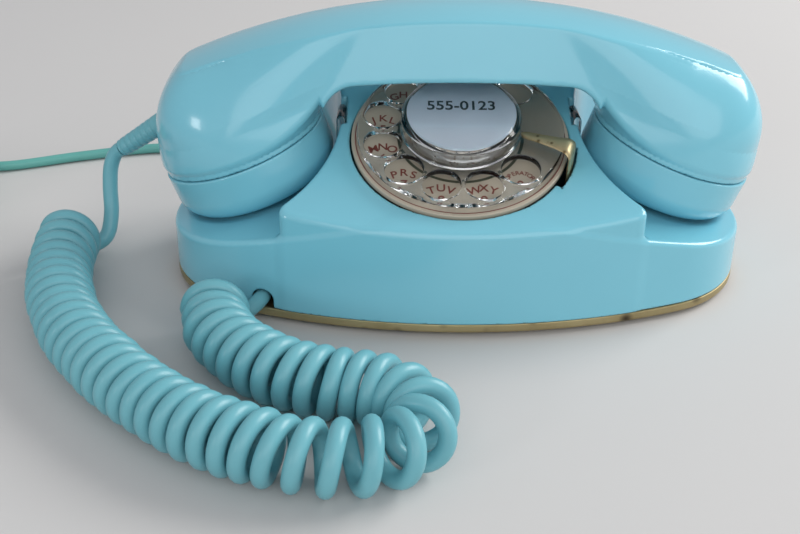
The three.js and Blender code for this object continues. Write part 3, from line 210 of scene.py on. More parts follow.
def finish(name, color, tired, roughness, *, metallic=0.0, coat=0.0, patch_size=60, patches=0.5, smudges=0.12,
           grain_size=900, grain=0.00002, bump=0.6, spots=None, spot_color=(0.2, 0.15, 0.1), spot_size=350,
           specular=0.5, clear=False):
    """A material whose colour, gloss and bump come from the shared wear, with spots where there are any."""
    material = bpy.data.materials.new(name)
    material.use_nodes = True
    tree = material.node_tree
    shader = tree.nodes["Principled BSDF"]
    wear = add_node(tree, "ShaderNodeGroup", {
        "Color": (*color, 1), "Tired Color": (*tired, 1), "Patch Size": patch_size, "Patches": patches,
        "Roughness": roughness, "Smudges": smudges, "Grain Size": grain_size}, node_tree=surface_wear).outputs
    shown = wear["Color"]
    if spots:
        mask = add_node(tree, "ShaderNodeGroup", {"Spot Size": spot_size, "Cover": spots}, node_tree=stain_spots)
        shown = add_node(tree, "ShaderNodeMix", {"Factor": mask.outputs["Mask"], "A": shown, "B": (*spot_color, 1)},
                         data_type="RGBA").outputs["Result"]
    grain_bump = add_node(tree, "ShaderNodeBump", {"Distance": grain, "Strength": bump, "Height": wear["Height"]})
    feed(tree, shader, {
        "Metallic": metallic, "Coat Weight": coat, "Coat Roughness": 0.06, "Specular IOR Level": specular,
        "Base Color": shown, "Roughness": wear["Roughness"], "Normal": grain_bump.outputs["Normal"]})
    if clear:
        feed(tree, shader, {"Transmission Weight": 1.0, "IOR": 1.49})
    return material


def fillet(outline, radius, steps=4, closed=True):
    """A polygon with each corner turned into an arc, of a radius for all or one for each corner."""
    count = len(outline)
    radii = [radius] * count if np.isscalar(radius) else list(radius)
    out = []
    for i, corner in enumerate(outline):
        if radii[i] <= 0 or (not closed and i in (0, count - 1)):
            out.append(corner)
            continue
        here = np.array(corner, float)
        before = np.array(outline[i - 1], float) - here
        after = np.array(outline[(i + 1) % count], float) - here
        long_before, long_after = np.linalg.norm(before), np.linalg.norm(after)
        before, after = before / long_before, after / long_after
        half = math.acos(np.clip(np.dot(before, after), -1, 1)) / 2
        reach = min(radii[i] / math.tan(half), 0.48 * long_before, 0.48 * long_after)
        r = reach * math.tan(half)
        middle = here + (before + after) / np.linalg.norm(before + after) * r / math.sin(half)
        start, end = here + before * reach - middle, here + after * reach - middle
        first = math.atan2(start[1], start[0])
        turn = math.atan2(end[1], end[0]) - first
        turn = (turn + math.pi) % (2 * math.pi) - math.pi
        arc = [first + turn * k / steps for k in range(steps + 1)]
        out += [(middle[0] + r * math.cos(a), middle[1] + r * math.sin(a)) for a in arc]
    return out


def smoothed_by_angle(piece, degrees=35):
    piece.data.shade_smooth()
    piece.data.set_sharp_from_angle(angle=math.radians(degrees))
    return piece


def right_way_out(piece):
    work = bmesh.new()
    work.from_mesh(piece.data)
    bmesh.ops.remove_doubles(work, verts=work.verts, dist=1e-7)
    bmesh.ops.recalc_face_normals(work, faces=work.faces)
    work.to_mesh(piece.data)
    work.free()


def lofted(name, rings):
    """A closed piece with faces from ring to ring, and a flat face at each end."""
    size, last = len(rings[0]), len(rings) - 1
    faces = [(i * size + j, i * size + (j + 1) % size, (i + 1) * size + (j + 1) % size, (i + 1) * size + j)
             for i in range(last) for j in range(size)]
    faces += [tuple(range(size)), tuple(range(last * size, (last + 1) * size))[::-1]]
    piece = mesh_piece(name, [p for ring in rings for p in ring], faces)
    right_way_out(piece)
    return piece


BASE_HALF_LENGTH, BASE_HALF_WIDTH, BASE_END_RADIUS = 102.4, 52.8, 41.0
END_CENTRE = BASE_HALF_LENGTH - BASE_END_RADIUS
SIDE_RADIUS = (END_CENTRE**2 + BASE_HALF_WIDTH**2 - BASE_END_RADIUS**2) / (2 * (BASE_HALF_WIDTH - BASE_END_RADIUS))
SIDE_CENTRE = SIDE_RADIUS - BASE_HALF_WIDTH
SIDE_HALF_ANGLE = math.atan2(END_CENTRE, SIDE_CENTRE)


def oval_ring(inset, steps=40):
    """The oval foot print, drawn in by the inset, as four arcs."""
    quarter, lean = math.pi / 2, SIDE_HALF_ANGLE
    points = []
    for x, y, radius, a0, a1 in (
        (-END_CENTRE, 0, BASE_END_RADIUS, quarter + lean, 3 * quarter - lean),
        (0, SIDE_CENTRE, SIDE_RADIUS, 3 * quarter - lean, 3 * quarter + lean),
        (END_CENTRE, 0, BASE_END_RADIUS, lean - quarter, quarter - lean),
        (0, -SIDE_CENTRE, SIDE_RADIUS, quarter - lean, quarter + lean),
    ):
        for a in np.linspace(a0, a1, steps, endpoint=False):
            points.append((x + (radius - inset) * math.cos(a), y + (radius - inset) * math.sin(a)))
    return points


def drilled(piece, tools):
    """Cuts the closed tool pieces out of a piece and leaves a plain mesh."""
    for tool in tools:
        cut = piece.modifiers.new("cut", "BOOLEAN")
        cut.operation, cut.solver, cut.object = "DIFFERENCE", "EXACT", tool
    made_plain(piece)
    for tool in tools:
        bpy.data.objects.remove(tool)
    return piece


def circle(radius, sides):
    return [(radius * math.cos(t), radius * math.sin(t)) for t in np.linspace(0, 2 * math.pi, sides, endpoint=False)]


def peg(x, y, low, high, radius, sides=24):
    return slab([(x + dx, y + dy) for dx, dy in circle(radius, sides)], low, high)


def slab(ring, low, high):
    n = len(ring)
    points = [(x * MM, y * MM, low * MM) for x, y in ring] + [(x * MM, y * MM, high * MM) for x, y in ring]
    faces = [tuple(range(n))[::-1], tuple(range(n, 2 * n))]
    faces += [(i, (i + 1) % n, n + (i + 1) % n, n + i) for i in range(n)]
    return mesh_piece("tool", points, faces, smooth=False)


plate_profile = fillet([(30, 1.5), (0, 1.5), (0, 4.9), (1.2, 4.9), (1.2, 2.7), (30, 2.7)],
                       [0, 1.2, 0.5, 0.5, 0.9, 0], steps=5)
rings = [[(x * MM, y * MM, z * MM) for x, y in oval_ring(inset)] for inset, z in plate_profile]
base_tray = lofted("base_tray", rings)
FOOT_PLACES, FOOT_HOLE_RADIUS = [(-66, -26), (66, -26), (66, 26), (-66, 26)], 2.4
SCREW_X, SCREW_Y, SCREW_HOLE_RADIUS = 93, 18, 1.7
VOLUME_OPENING = [(-31, -35), (-21, -35), (-21, -24), (-31, -24)]
holes = [peg(x, y, 0, 10, FOOT_HOLE_RADIUS) for x, y in FOOT_PLACES]
holes += [peg(side * SCREW_X, SCREW_Y, 0, 10, SCREW_HOLE_RADIUS) for side in (-1, 1)]
holes.append(slab(VOLUME_OPENING, 0, 10))
drilled(base_tray, holes)
smoothed_by_angle(base_tray, 40)
chromate = finish("yellow_chromate", (0.5, 0.41, 0.22), (0.3, 0.23, 0.11), 0.45, metallic=0.75, patch_size=45,
                  patches=0.8, smudges=0.35, grain_size=2500, grain=0.00003, spots=0.2,
                  spot_color=(0.05, 0.035, 0.02), spot_size=120)
placed(base_tray, chromate, "base", "chromate_steel", "base_plate")

# ---------- housing
# One injection moulding in glossy aqua plastic, 2.5 mm thick, with crisp but rounded edges. The raised
# middle slopes towards the dial and has a cradle on each side. Two screws under it hold it to the tray.


def round_max(a, b, r):
    return np.minimum(np.maximum(a, b), -r) + np.hypot(np.maximum(a + r, 0), np.maximum(b + r, 0))


def round_min(a, b, r):
    return np.maximum(np.minimum(a, b), r) - np.hypot(np.maximum(r - a, 0), np.maximum(r - b, 0))


def carved(name, field, low, high, step, most=185000):
    """The surface where a field of signed distances in mm is zero, as a closed mesh with smooth normals."""
    axes = [np.arange(low[k] - step, high[k] + 2 * step, step) for k in range(3)]
    values = np.broadcast_to(
        field(axes[0][:, None, None], axes[1][None, :, None], axes[2][None, None, :]), [len(a) for a in axes]
    ).astype(np.float32)
    within = values < 0
    count = np.zeros([n - 1 for n in within.shape], np.int8)
    for i, j, k in product((0, 1), repeat=3):
        count += within[i : i + count.shape[0], j : j + count.shape[1], k : k + count.shape[2]]
    mixed = (count > 0) & (count < 8)
    number = np.full(mixed.shape, -1, np.int64)
    number[mixed] = np.arange(mixed.sum())
    cell = np.argwhere(mixed)
    points = np.stack([axes[k][cell[:, k]] + step / 2 for k in range(3)], 1)
    quads = []
    for axis in range(3):
        u, v = (axis + 1) % 3, (axis + 2) % 3
        ahead = np.roll(within, -1, axis)
        change = within != ahead
        change[tuple(slice(-1, None) if k == axis else slice(None) for k in range(3))] = False
        at = np.argwhere(change)
        for side in (u, v):
            at = at[(at[:, side] > 0) & (at[:, side] < within.shape[side] - 1)]
        outward = within[tuple(at.T)]
        corners = []
        for du, dv in ((1, 1), (0, 1), (0, 0), (1, 0)):
            spot = at.copy()
            spot[:, u] -= du
            spot[:, v] -= dv
            corners.append(number[tuple(spot.T)])
        quad = np.stack(corners, 1)
        quad[~outward] = quad[~outward][:, ::-1]
        quads.append(quad)
    quads = np.vstack(quads)

    def slopes(points):
        x, y, z = points.T
        e = 0.05
        gradient = np.stack([
            field(x + e, y, z) - field(x - e, y, z),
            field(x, y + e, z) - field(x, y - e, z),
            field(x, y, z + e) - field(x, y, z - e),
        ], 1) / (2 * e)
        return gradient, field(x, y, z)

    def settled(points, rounds, reach):
        """Points moved onto the surface, each no further than the reach from where it was."""
        start = points.copy()
        for _ in range(rounds):
            slope, height = slopes(points)
            move = -height[:, None] * slope / np.maximum((slope**2).sum(1), 0.05)[:, None]
            points = start + np.clip(points + move - start, -reach, reach)
        return points

    points = settled(points, 4, step * 0.7)
    piece = mesh_piece(name, points * MM, quads)
    triangles = 2 * len(quads)
    if triangles > most:
        thin = piece.modifiers.new("thin", "DECIMATE")
        thin.ratio = most / triangles
        made_plain(piece)
    mesh = piece.data
    flat = np.empty(len(mesh.vertices) * 3)
    mesh.vertices.foreach_get("co", flat)
    points = settled(flat.reshape(-1, 3) / MM, 2, step * 0.4)
    mesh.vertices.foreach_set("co", (points * MM).ravel())
    mesh.update()
    normals, _ = slopes(points)
    normals /= np.maximum(np.linalg.norm(normals, axis=1), 1e-9)[:, None]
    mesh.shade_smooth()
    mesh.normals_split_custom_set_from_vertices([tuple(n) for n in normals])
    return piece


FACE_TILT, FACE_FRONT_HEIGHT = math.radians(20.7), 38.6
DIAL_Y = -10.8
DIAL_Z = FACE_FRONT_HEIGHT + (DIAL_Y + BASE_HALF_WIDTH) * math.tan(FACE_TILT)
PLATE_RADIUS, STOP_ANGLE, STOP_SPAN = 37.6, math.radians(-12), math.radians(20)
CREST_Y, CREST_RADIUS, BACK_SLOPE = 24.6, 16.0, math.radians(62)
FLANK_X, FLANK_RADIUS, HANDSET_Y = 101.0, 59.5, 3.4
CAP_X, CAP_Z, CAP_TILT = 76.5, 48.1, math.radians(20.3)
CAP_RADIUS, CAP_DEPTH, CAP_ROUNDING, CAP_CLEARANCE = 30.0, 18.0, 8.6, 0.8
HOUSING_BOTTOM, SHELL_WALL = 5.2, 2.5
LEDGE_X, LEDGE_Z, LEDGE_TILT = 75, 28.6, math.radians(14)
BOSS_RADIUS, BOSS_TOP, BOSS_GAP, SCREW_DEPTH = 3.6, 20, 1.2, 17
OPENING_GAP, OPENING_REACH = 0.5, 8
NOTCH_RADIUS, NOTCH_GAP = 40.5, 0.08
FRONT_ARCH, BACK_ARCH = (-67.5, 8.1, 3.7), (-38, 9, 4.3)
SLOT_X, SLOT_HALF_WIDTH, SLOT_HALF_DEPTH = 44.65, 5.15, 6.4
crest_centre = (CREST_Y + CREST_RADIUS * math.sin(FACE_TILT),
                FACE_FRONT_HEIGHT + (CREST_Y + BASE_HALF_WIDTH) * math.tan(FACE_TILT)
                - CREST_RADIUS * math.cos(FACE_TILT))


def oval_field(x, y):
    ax, ay = np.abs(x), np.abs(y)
    side = np.hypot(ax, ay + SIDE_CENTRE) - SIDE_RADIUS
    end = np.hypot(ax - END_CENTRE, ay) - BASE_END_RADIUS
    return np.where(np.arctan2(ax, ay + SIDE_CENTRE) < SIDE_HALF_ANGLE, side, end)


def face_field(y, z):
    u, w = y - crest_centre[0], z - crest_centre[1]
    front = -u * math.sin(FACE_TILT) + w * math.cos(FACE_TILT) - CREST_RADIUS
    back = u * math.sin(BACK_SLOPE) + w * math.cos(BACK_SLOPE) - CREST_RADIUS
    arc = np.hypot(u, w) - CREST_RADIUS
    on_front = u * math.cos(FACE_TILT) + w * math.sin(FACE_TILT) < 0
    on_back = u * math.cos(BACK_SLOPE) - w * math.sin(BACK_SLOPE) > 0
    return np.where(on_front, front, np.where(on_back, back, arc))


def cap_frame(x, y, z):
    """Height above the seam along a cap's axis, and distance from that axis. Both caps are alike."""
    u, w = np.abs(x) - CAP_X, z - CAP_Z
    above = u * math.sin(CAP_TILT) + w * math.cos(CAP_TILT)
    across = u * math.cos(CAP_TILT) - w * math.sin(CAP_TILT)
    return above, across, y - HANDSET_Y


def housing_body(x, y, z):
    oval = oval_field(x, y)
    flank = FLANK_RADIUS - np.hypot(np.abs(x) - FLANK_X, y - HANDSET_Y)
    upper = round_max(round_max(oval, flank, 5.0), face_field(y, z), 1.6)
    ledge = (z - LEDGE_Z) * math.cos(LEDGE_TILT) + (np.abs(x) - LEDGE_X) * math.sin(LEDGE_TILT)
    lower = round_max(round_max(oval, ledge, 1.5), face_field(y, z), 1.6)
    body = round_min(upper, lower, 1.8)
    above, across, beside = cap_frame(x, y, z)
    seat = round_max(np.hypot(across, beside) - CAP_RADIUS - CAP_CLEARANCE, -above - CAP_DEPTH - CAP_CLEARANCE,
                     CAP_ROUNDING)
    return round_max(body, -seat, 1.2)


def dial_frame_of(x, y, z):
    v = (y - DIAL_Y) * math.cos(FACE_TILT) + (z - DIAL_Z) * math.sin(FACE_TILT)
    level = -(y - DIAL_Y) * math.sin(FACE_TILT) + (z - DIAL_Z) * math.cos(FACE_TILT)
    return x, v, level


def arch_field(x, z, arch):
    centre, spring, radius = arch
    return np.where(z < spring, np.abs(x - centre), np.hypot(x - centre, z - spring)) - radius


def housing_field(x, y, z):
    body = housing_body(x, y, z)
    from_screw = np.hypot(np.abs(x) - SCREW_X, y - SCREW_Y)
    boss = np.maximum(np.maximum(from_screw - BOSS_RADIUS, z - BOSS_TOP), oval_field(x, y) + BOSS_GAP)
    hollow = np.maximum(body + SHELL_WALL, -round_max(boss, boss, 0.1))
    shell = np.maximum(round_min(body, boss, 0.6), -hollow)
    shell = round_max(shell, HOUSING_BOTTOM - z, 0.5)
    shell = np.maximum(shell, -np.maximum(from_screw - SCREW_HOLE_RADIUS, z - SCREW_DEPTH))
    u, v, level = dial_frame_of(x, y, z)
    spread = np.hypot(u, v)
    opening = np.maximum(spread - PLATE_RADIUS - OPENING_GAP, np.abs(level) - OPENING_REACH)
    # The notch for the finger stop is a little wider than the strip's span round the dial.
    beyond = np.abs(np.arctan2(v, u) - (STOP_ANGLE - STOP_SPAN / 2 + 0.04)) - STOP_SPAN / 2 - NOTCH_GAP
    notch = np.maximum(spread - NOTCH_RADIUS, np.abs(level) - OPENING_REACH)
    notch = np.maximum(notch, np.where(beyond < 0, -1.0, beyond * 38))
    front_arch = np.maximum(arch_field(x, z, FRONT_ARCH), y + 20)
    back_arch = np.maximum(arch_field(x, z, BACK_ARCH), 20 - y)
    slot = np.maximum(np.abs(np.abs(x) - SLOT_X) - SLOT_HALF_WIDTH, np.abs(y - HANDSET_Y) - SLOT_HALF_DEPTH)
    slot = np.maximum(slot, HOUSING_BOTTOM - 1 - z)
    for cut, rounding in ((opening, 0.7), (notch, 0.3), (front_arch, 0.6), (back_arch, 0.6), (slot, 0.4)):
        shell = round_max(shell, -cut, rounding)
    return shell


housing_shell = carved("housing_shell", housing_field, (-102.6, -53, 5), (102.6, 53, 69.5), 0.75)
aqua = finish("glossy_aqua", (0.205, 0.56, 0.68), (0.18, 0.515, 0.635), 0.2, coat=0.35, patch_size=14,
              patches=0.6, grain_size=450, grain=0.000012)
placed(housing_shell, aqua, "base", "aqua_plastic", "housing")

# ---------- number plate
# A pressed beige disc in the housing's sloped face, with a stepped rim, a thin brown line just inside
# it and the letters and digits printed in red-brown, upright, one group under each finger hole.
dial_place = Matrix.Translation((0, DIAL_Y * MM, DIAL_Z * MM)) @ Matrix.Rotation(FACE_TILT, 4, "X")


def lathed(name, outline, steps=96, sharp=35):
    """A closed outline of (radius, height) in mm turned round the dial's axis."""
    n = len(outline)
    points, faces, first = [], [], []
    for radius, height in outline:
        first.append(len(points))
        if radius < 1e-6:
            points.append((0, 0, height * MM))
        else:
            points += [(x * MM, y * MM, height * MM) for x, y in circle(radius, steps)]
    on_axis = [radius < 1e-6 for radius, _ in outline]
    for i in range(n):
        k = (i + 1) % n
        if on_axis[i] and on_axis[k]:
            continue
        for j in range(steps):
            l = (j + 1) % steps
            a = [first[i]] if on_axis[i] else [first[i] + j, first[i] + l]
            b = [first[k]] if on_axis[k] else [first[k] + l, first[k] + j]
            faces.append(tuple(a + b))
    piece = mesh_piece(name, points, faces)
    right_way_out(piece)
    piece.data.transform(dial_place)
    return smoothed_by_angle(piece, sharp)


plate_outline = fillet(
    [(5, -0.6), (PLATE_RADIUS, -0.6), (PLATE_RADIUS, 1.4), (36.2, 1.4), (35.5, 0.6), (5, 0.6)],
    [0, 0.3, 0.45, 0.35, 0.3, 0])
dial_plate = lathed("dial_plate", plate_outline, 144)
plate_beige = finish("plate_beige", (0.47, 0.415, 0.33), (0.41, 0.36, 0.28), 0.34, coat=0.2, patch_size=40,
                     patches=0.7, smudges=0.15, grain_size=1800, grain=0.00001)
placed(dial_plate, plate_beige, "base", "number_plate_cream", "number_plate")
print_brown = finish("print_brown", (0.16, 0.035, 0.025), (0.22, 0.065, 0.05), 0.45, patch_size=300, grain=0.000005)
shadow_green = finish("shadow_green", (0.05, 0.06, 0.04), (0.08, 0.08, 0.05), 0.5, patch_size=90)
# Two thin rings are laid on the plate: plate_line is printed brown, and the ring round the hub is painted shadow, a
# dark green band where the clear cover shades the plate.
for name, inner, outer, bottom, outer_top, inner_top, print_and_shade_finish in (
    ("plate_line", 36.0, 36.35, 1.2, 1.43, 1.41, print_brown),
    ("hub_shadow_ring", 20.6, 21.7, 0.605, 0.625, 0.625, shadow_green),
):
    line = lathed(name, [(inner, bottom), (outer, bottom), (outer, outer_top), (inner, inner_top)], 144)
    placed(line, print_and_shade_finish, "base", "number_plate_cream")


PRINT_LEVEL = 0.62


def curve_mesh(name, curve):
    """The mesh of a curve or a text, which is then taken away."""
    holder = object_of(name, curve)
    bpy.context.view_layer.update()
    mesh = plain_mesh(holder)
    bpy.data.objects.remove(holder)
    return mesh


def printed(words, size, x, y, level=PRINT_LEVEL, turn=0.0):
    """Flat lettering laid on the dial, as a thin mesh, centred at x, y in mm."""
    text = bpy.data.curves.new("lettering", "FONT")
    text.body, text.size = words, size * MM
    text.align_x, text.align_y = "CENTER", "CENTER"
    text.extrude = 0.015 * MM
    text.offset = 0.05 * size * MM / 3
    text.resolution_u = 4
    mesh = curve_mesh("lettering", text)
    mesh.transform(dial_place @ Matrix.Translation((x * MM, y * MM, level * MM)) @ Matrix.Rotation(turn, 4, "Z"))
    return mesh


def joined(name, meshes):
    work = bmesh.new()
    for mesh in meshes:
        work.from_mesh(mesh)
        bpy.data.meshes.remove(mesh)
    mesh = bpy.data.meshes.new(name)
    work.to_mesh(mesh)
    work.free()
    return object_of(name, mesh)


HOLE_CIRCLE, HOLE_RADIUS = 27.6, 6.2
hole_centres = [(HOLE_CIRCLE * math.cos(math.radians(turn)), HOLE_CIRCLE * math.sin(math.radians(turn)))
                for turn in range(45, 345, 30)]
LEGENDS = ["", "ABC", "DEF", "GHI", "JKL", "MNO", "PRS", "TUV", "WXY", "OPERATOR"]
lettering = []
for i, (letters, (x, y)) in enumerate(zip(LEGENDS, hole_centres)):
    lettering.append(printed(str((i + 1) % 10), 5.0, x, y - 2.8 if letters else y))
    if len(letters) == 3:
        for letter, dx, dy, turn in zip(letters, (-3.2, 0, 3.2), (1.5, 2.6, 1.5), (17, 0, -17)):
            lettering.append(printed(letter, 4.6, x + dx, y + dy, turn=math.radians(turn)))
    elif letters:
        for k, letter in enumerate(letters):
            t = (k - 3.5) * math.radians(17)
            lettering.append(printed(letter, 2.5, x + 4.9 * math.sin(t), y - 2.2 + 4.9 * math.cos(t), turn=-t))
plate_lettering = joined("plate_lettering", lettering)
placed(plate_lettering, print_brown, "base", "number_plate_cream")

# ---------- finger wheel, cover and card
# Clear moulded acrylic: a flat wheel with ten rounded finger holes and a thick domed cover that holds
# a pale blue card in its recess. They turn together on the steel shaft.
acrylic = finish("clear_acrylic", (0.97, 0.985, 0.985), (0.93, 0.955, 0.95), 0.035, patch_size=40, smudges=0.05,
                 grain_size=500, grain=0.000008, bump=1.0, clear=True)
WHEEL_RADIUS, WHEEL_LEVEL, WHEEL_THICKNESS = 35.6, 3.0, 2.4
EDGE, HOLE_EASE = 0.7, 0.25


def wheel_circle(curve, x, y, radius, sides):
    ring = curve.splines.new("POLY")
    ring.points.add(sides - 1)
    ring.use_cyclic_u = True
    for point, (dx, dy) in zip(ring.points, circle(radius, sides)):
        point.co = ((x + dx) * MM, (y + dy) * MM, 0, 1)


wheel_curve = bpy.data.curves.new("clear_wheel", "CURVE")
wheel_curve.dimensions, wheel_curve.fill_mode = "2D", "BOTH"
wheel_curve.extrude = (WHEEL_THICKNESS / 2 - EDGE) * MM
wheel_curve.bevel_depth, wheel_curve.bevel_resolution = EDGE * MM, 3
wheel_circle(wheel_curve, 0, 0, WHEEL_RADIUS - EDGE, 160)
wheel_circle(wheel_curve, 0, 0, 5.0 + EDGE, 32)
for x, y in hole_centres:
    wheel_circle(wheel_curve, x, y, HOLE_RADIUS + HOLE_EASE + EDGE, 56)
clear_wheel = object_of("clear_wheel", curve_mesh("clear_wheel_outline", wheel_curve))
clear_wheel.data.transform(dial_place @ Matrix.Translation((0, 0, (WHEEL_LEVEL + WHEEL_THICKNESS / 2) * MM)))
right_way_out(clear_wheel)
smoothed_by_angle(clear_wheel, 40)
placed(clear_wheel, acrylic, "finger_wheel", "clear_plastic", "finger_wheel")

cover_outline = fillet(
    [(0, 13.4), (18.2, 13.4), (20.4, 11.6), (20.9, 5.7), (18.6, 5.7), (18.6, 12.6), (0, 12.6)],
    [0, 0.9, 1.6, 0.4, 0.3, 0.3, 0], steps=6)
clear_cover = lathed("clear_cover", cover_outline, 128, 40)
placed(clear_cover, acrylic, "finger_wheel", "clear_plastic", "card_cover")

card_outline = fillet([(0, 11.8), (18.3, 11.8), (18.3, 12.3), (0, 12.3)], [0, 0.15, 0.15, 0], steps=3)
number_card = lathed("number_card", card_outline)
card_blue = finish("card_blue", (0.72, 0.83, 0.96), (0.64, 0.76, 0.92), 0.55, patch_size=25, patches=0.6,
                   grain_size=3000, grain=0.00001)
placed(number_card, card_blue, "finger_wheel", "card", "dial_card")
card_lettering = joined("card_lettering", [printed("555-0123", 6.2, 0, 3.2, level=12.32)])
ink_black = finish("ink_black", (0.015, 0.017, 0.02), (0.03, 0.03, 0.035), 0.5, patch_size=300, grain=0.000005)
placed(card_lettering, ink_black, "finger_wheel", "card")

# ---------- finger stop
# A strip of satin brass bent over the rim of the dial: a narrow rounded tip beside the hub, widening
# outwards, folded down into a slot in the housing.


def steps_along(line):
    """The distance from each point of a line to the next."""
    return np.linalg.norm(np.diff(line, axis=0), axis=1)


def evened(line, spacing):
    """The same line with its points a constant distance apart."""
    along = np.concatenate([[0], np.cumsum(steps_along(line))])
    at = np.linspace(0, along[-1], max(2, int(round(along[-1] / spacing)) + 1))
    return np.stack([np.interp(at, along, line[:, k]) for k in range(3)], 1)


stop_path = fillet([(20.9, 7.9), (27, 8.7), (39.3, 9.9), (39.3, -5)], [0, 8, 2.6, 0], steps=10, closed=False)
stop_line = evened(np.array([(r, level, 0) for r, level in stop_path]), 0.35)
stop_turn = math.radians(-20)
across_at = np.interp(stop_line[:, 0], [20.9, 21.2, 21.8, 23, 27, 33, 38, 39.3],
                      [0.25, 0.8, 1.25, 1.6, 1.9, 2.7, 3.9, 4.3])
drop = np.clip((stop_line[:, 1] - 3) / 6, 0, 1)
across_at = np.where(stop_line[:, 0] > 39.2, 4.3 - 0.5 * (1 - drop), across_at)
slide = np.interp(stop_line[:, 0], [20.9, 27, 39.3], [1.8, 1.0, -0.4])
tangent = np.gradient(stop_line[:, :2], axis=0)
tangent /= np.linalg.norm(tangent, axis=1)[:, None]
normal = np.stack([-tangent[:, 1], tangent[:, 0]], 1)
section = [(-1, 0), (-0.9, 0.42), (-0.45, 0.56), (0, 0.6), (0.45, 0.56), (0.9, 0.42), (1, 0),
           (0.9, -0.42), (0.45, -0.5), (0, -0.5), (-0.45, -0.5), (-0.9, -0.42)]
rings = []
for (radius, level, _), n, half, side in zip(stop_line, normal, across_at, slide):
    rings.append([])
    for u, v in section:
        r, h, t = radius + n[0] * v, level + n[1] * v, side + u * half
        rings[-1].append(((r * math.cos(stop_turn) - t * math.sin(stop_turn)) * MM,
                          (r * math.sin(stop_turn) + t * math.cos(stop_turn)) * MM, h * MM))
stop_strip = lofted("stop_strip", rings)
stop_strip.data.transform(dial_place)
smoothed_by_angle(stop_strip, 50)
satin_brass = finish("satin_brass", (0.52, 0.43, 0.25), (0.4, 0.32, 0.18), 0.38, metallic=0.85, patch_size=120,
                     patches=0.6, smudges=0.25, grain_size=2600, spots=0.2, spot_color=(0.12, 0.08, 0.03),
                     spot_size=420)
placed(stop_strip, satin_brass, "base", "brass", "finger_stop")

# ---------- plungers
# Two clear plastic tongues stand in slots beside the raised middle. The handset's caps push them down,
# and they press on the hook lever inside.


def eased(node, width, name, material, body, slot_name):
    """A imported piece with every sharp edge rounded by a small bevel."""
    source = bpy.data.objects[node]
    mesh = source.data.copy()
    work = bmesh.new()
    work.from_mesh(mesh)
    bmesh.ops.transform(work, matrix=source.matrix_world, verts=work.verts)
    bmesh.ops.remove_doubles(work, verts=work.verts, dist=2e-6)
    bmesh.ops.dissolve_limit(work, angle_limit=math.radians(1.0), verts=work.verts, edges=work.edges)
    work.to_mesh(mesh)
    work.free()
    piece = object_of(name, mesh)
    bevel = piece.modifiers.new("bevel", "BEVEL")
    bevel.width, bevel.segments = width * MM, 3
    bevel.limit_method, bevel.angle_limit = "ANGLE", math.radians(38)
    bevel.use_clamp_overlap = True
    smoothed_by_angle(made_plain(piece), 32)
    return placed(piece, material, body, slot_name, node)


for side in ("left", "right"):
    eased(f"plunger_{side}", 0.7, f"clear_tongue_{side}", acrylic, f"plunger_{side}", "clear_plastic")

# ---------- handset
# A hollow moulding of the same aqua plastic: a handle with a flat crowned band along the top, which
# runs down at both ends into round bowls. A cap is screwed under each bowl and a fine seam shows.
HANDLE_TOP, HANDLE_TOP_RADIUS = 96.4, 240.0
HANDLE_BOTTOM, HANDLE_BOTTOM_RADIUS = 76.8, 400.0
HANDLE_WALL, HANDLE_REACH = 2.8, 84
HANDLE_HALF_WIDTH, HANDLE_NARROWING, SIDE_FLARE, FLARE_COSINE = 15.1, 0.015, 0.28, 0.963
CROWN_RADIUS, CROWN_RISE = 67.6, 1.8
BOWL_RADIUS, BOWL_RISE = 30.4, 37
TUNNEL_REACH, TUNNEL_ROUNDING = 47.5, 11.0
RELIEF_ROOT_RADIUS = 4.3
RELIEF_ROOT = np.array([-102.5, 15.5, 53])
RELIEF_TIP = np.array([-124.5, 19.5, 37.5])
relief_axis = (RELIEF_TIP - RELIEF_ROOT) / np.linalg.norm(RELIEF_TIP - RELIEF_ROOT)


def power_blend(a, b, p):
    return (np.maximum(a, 0) ** p + np.maximum(b, 0) ** p) ** (1 / p)


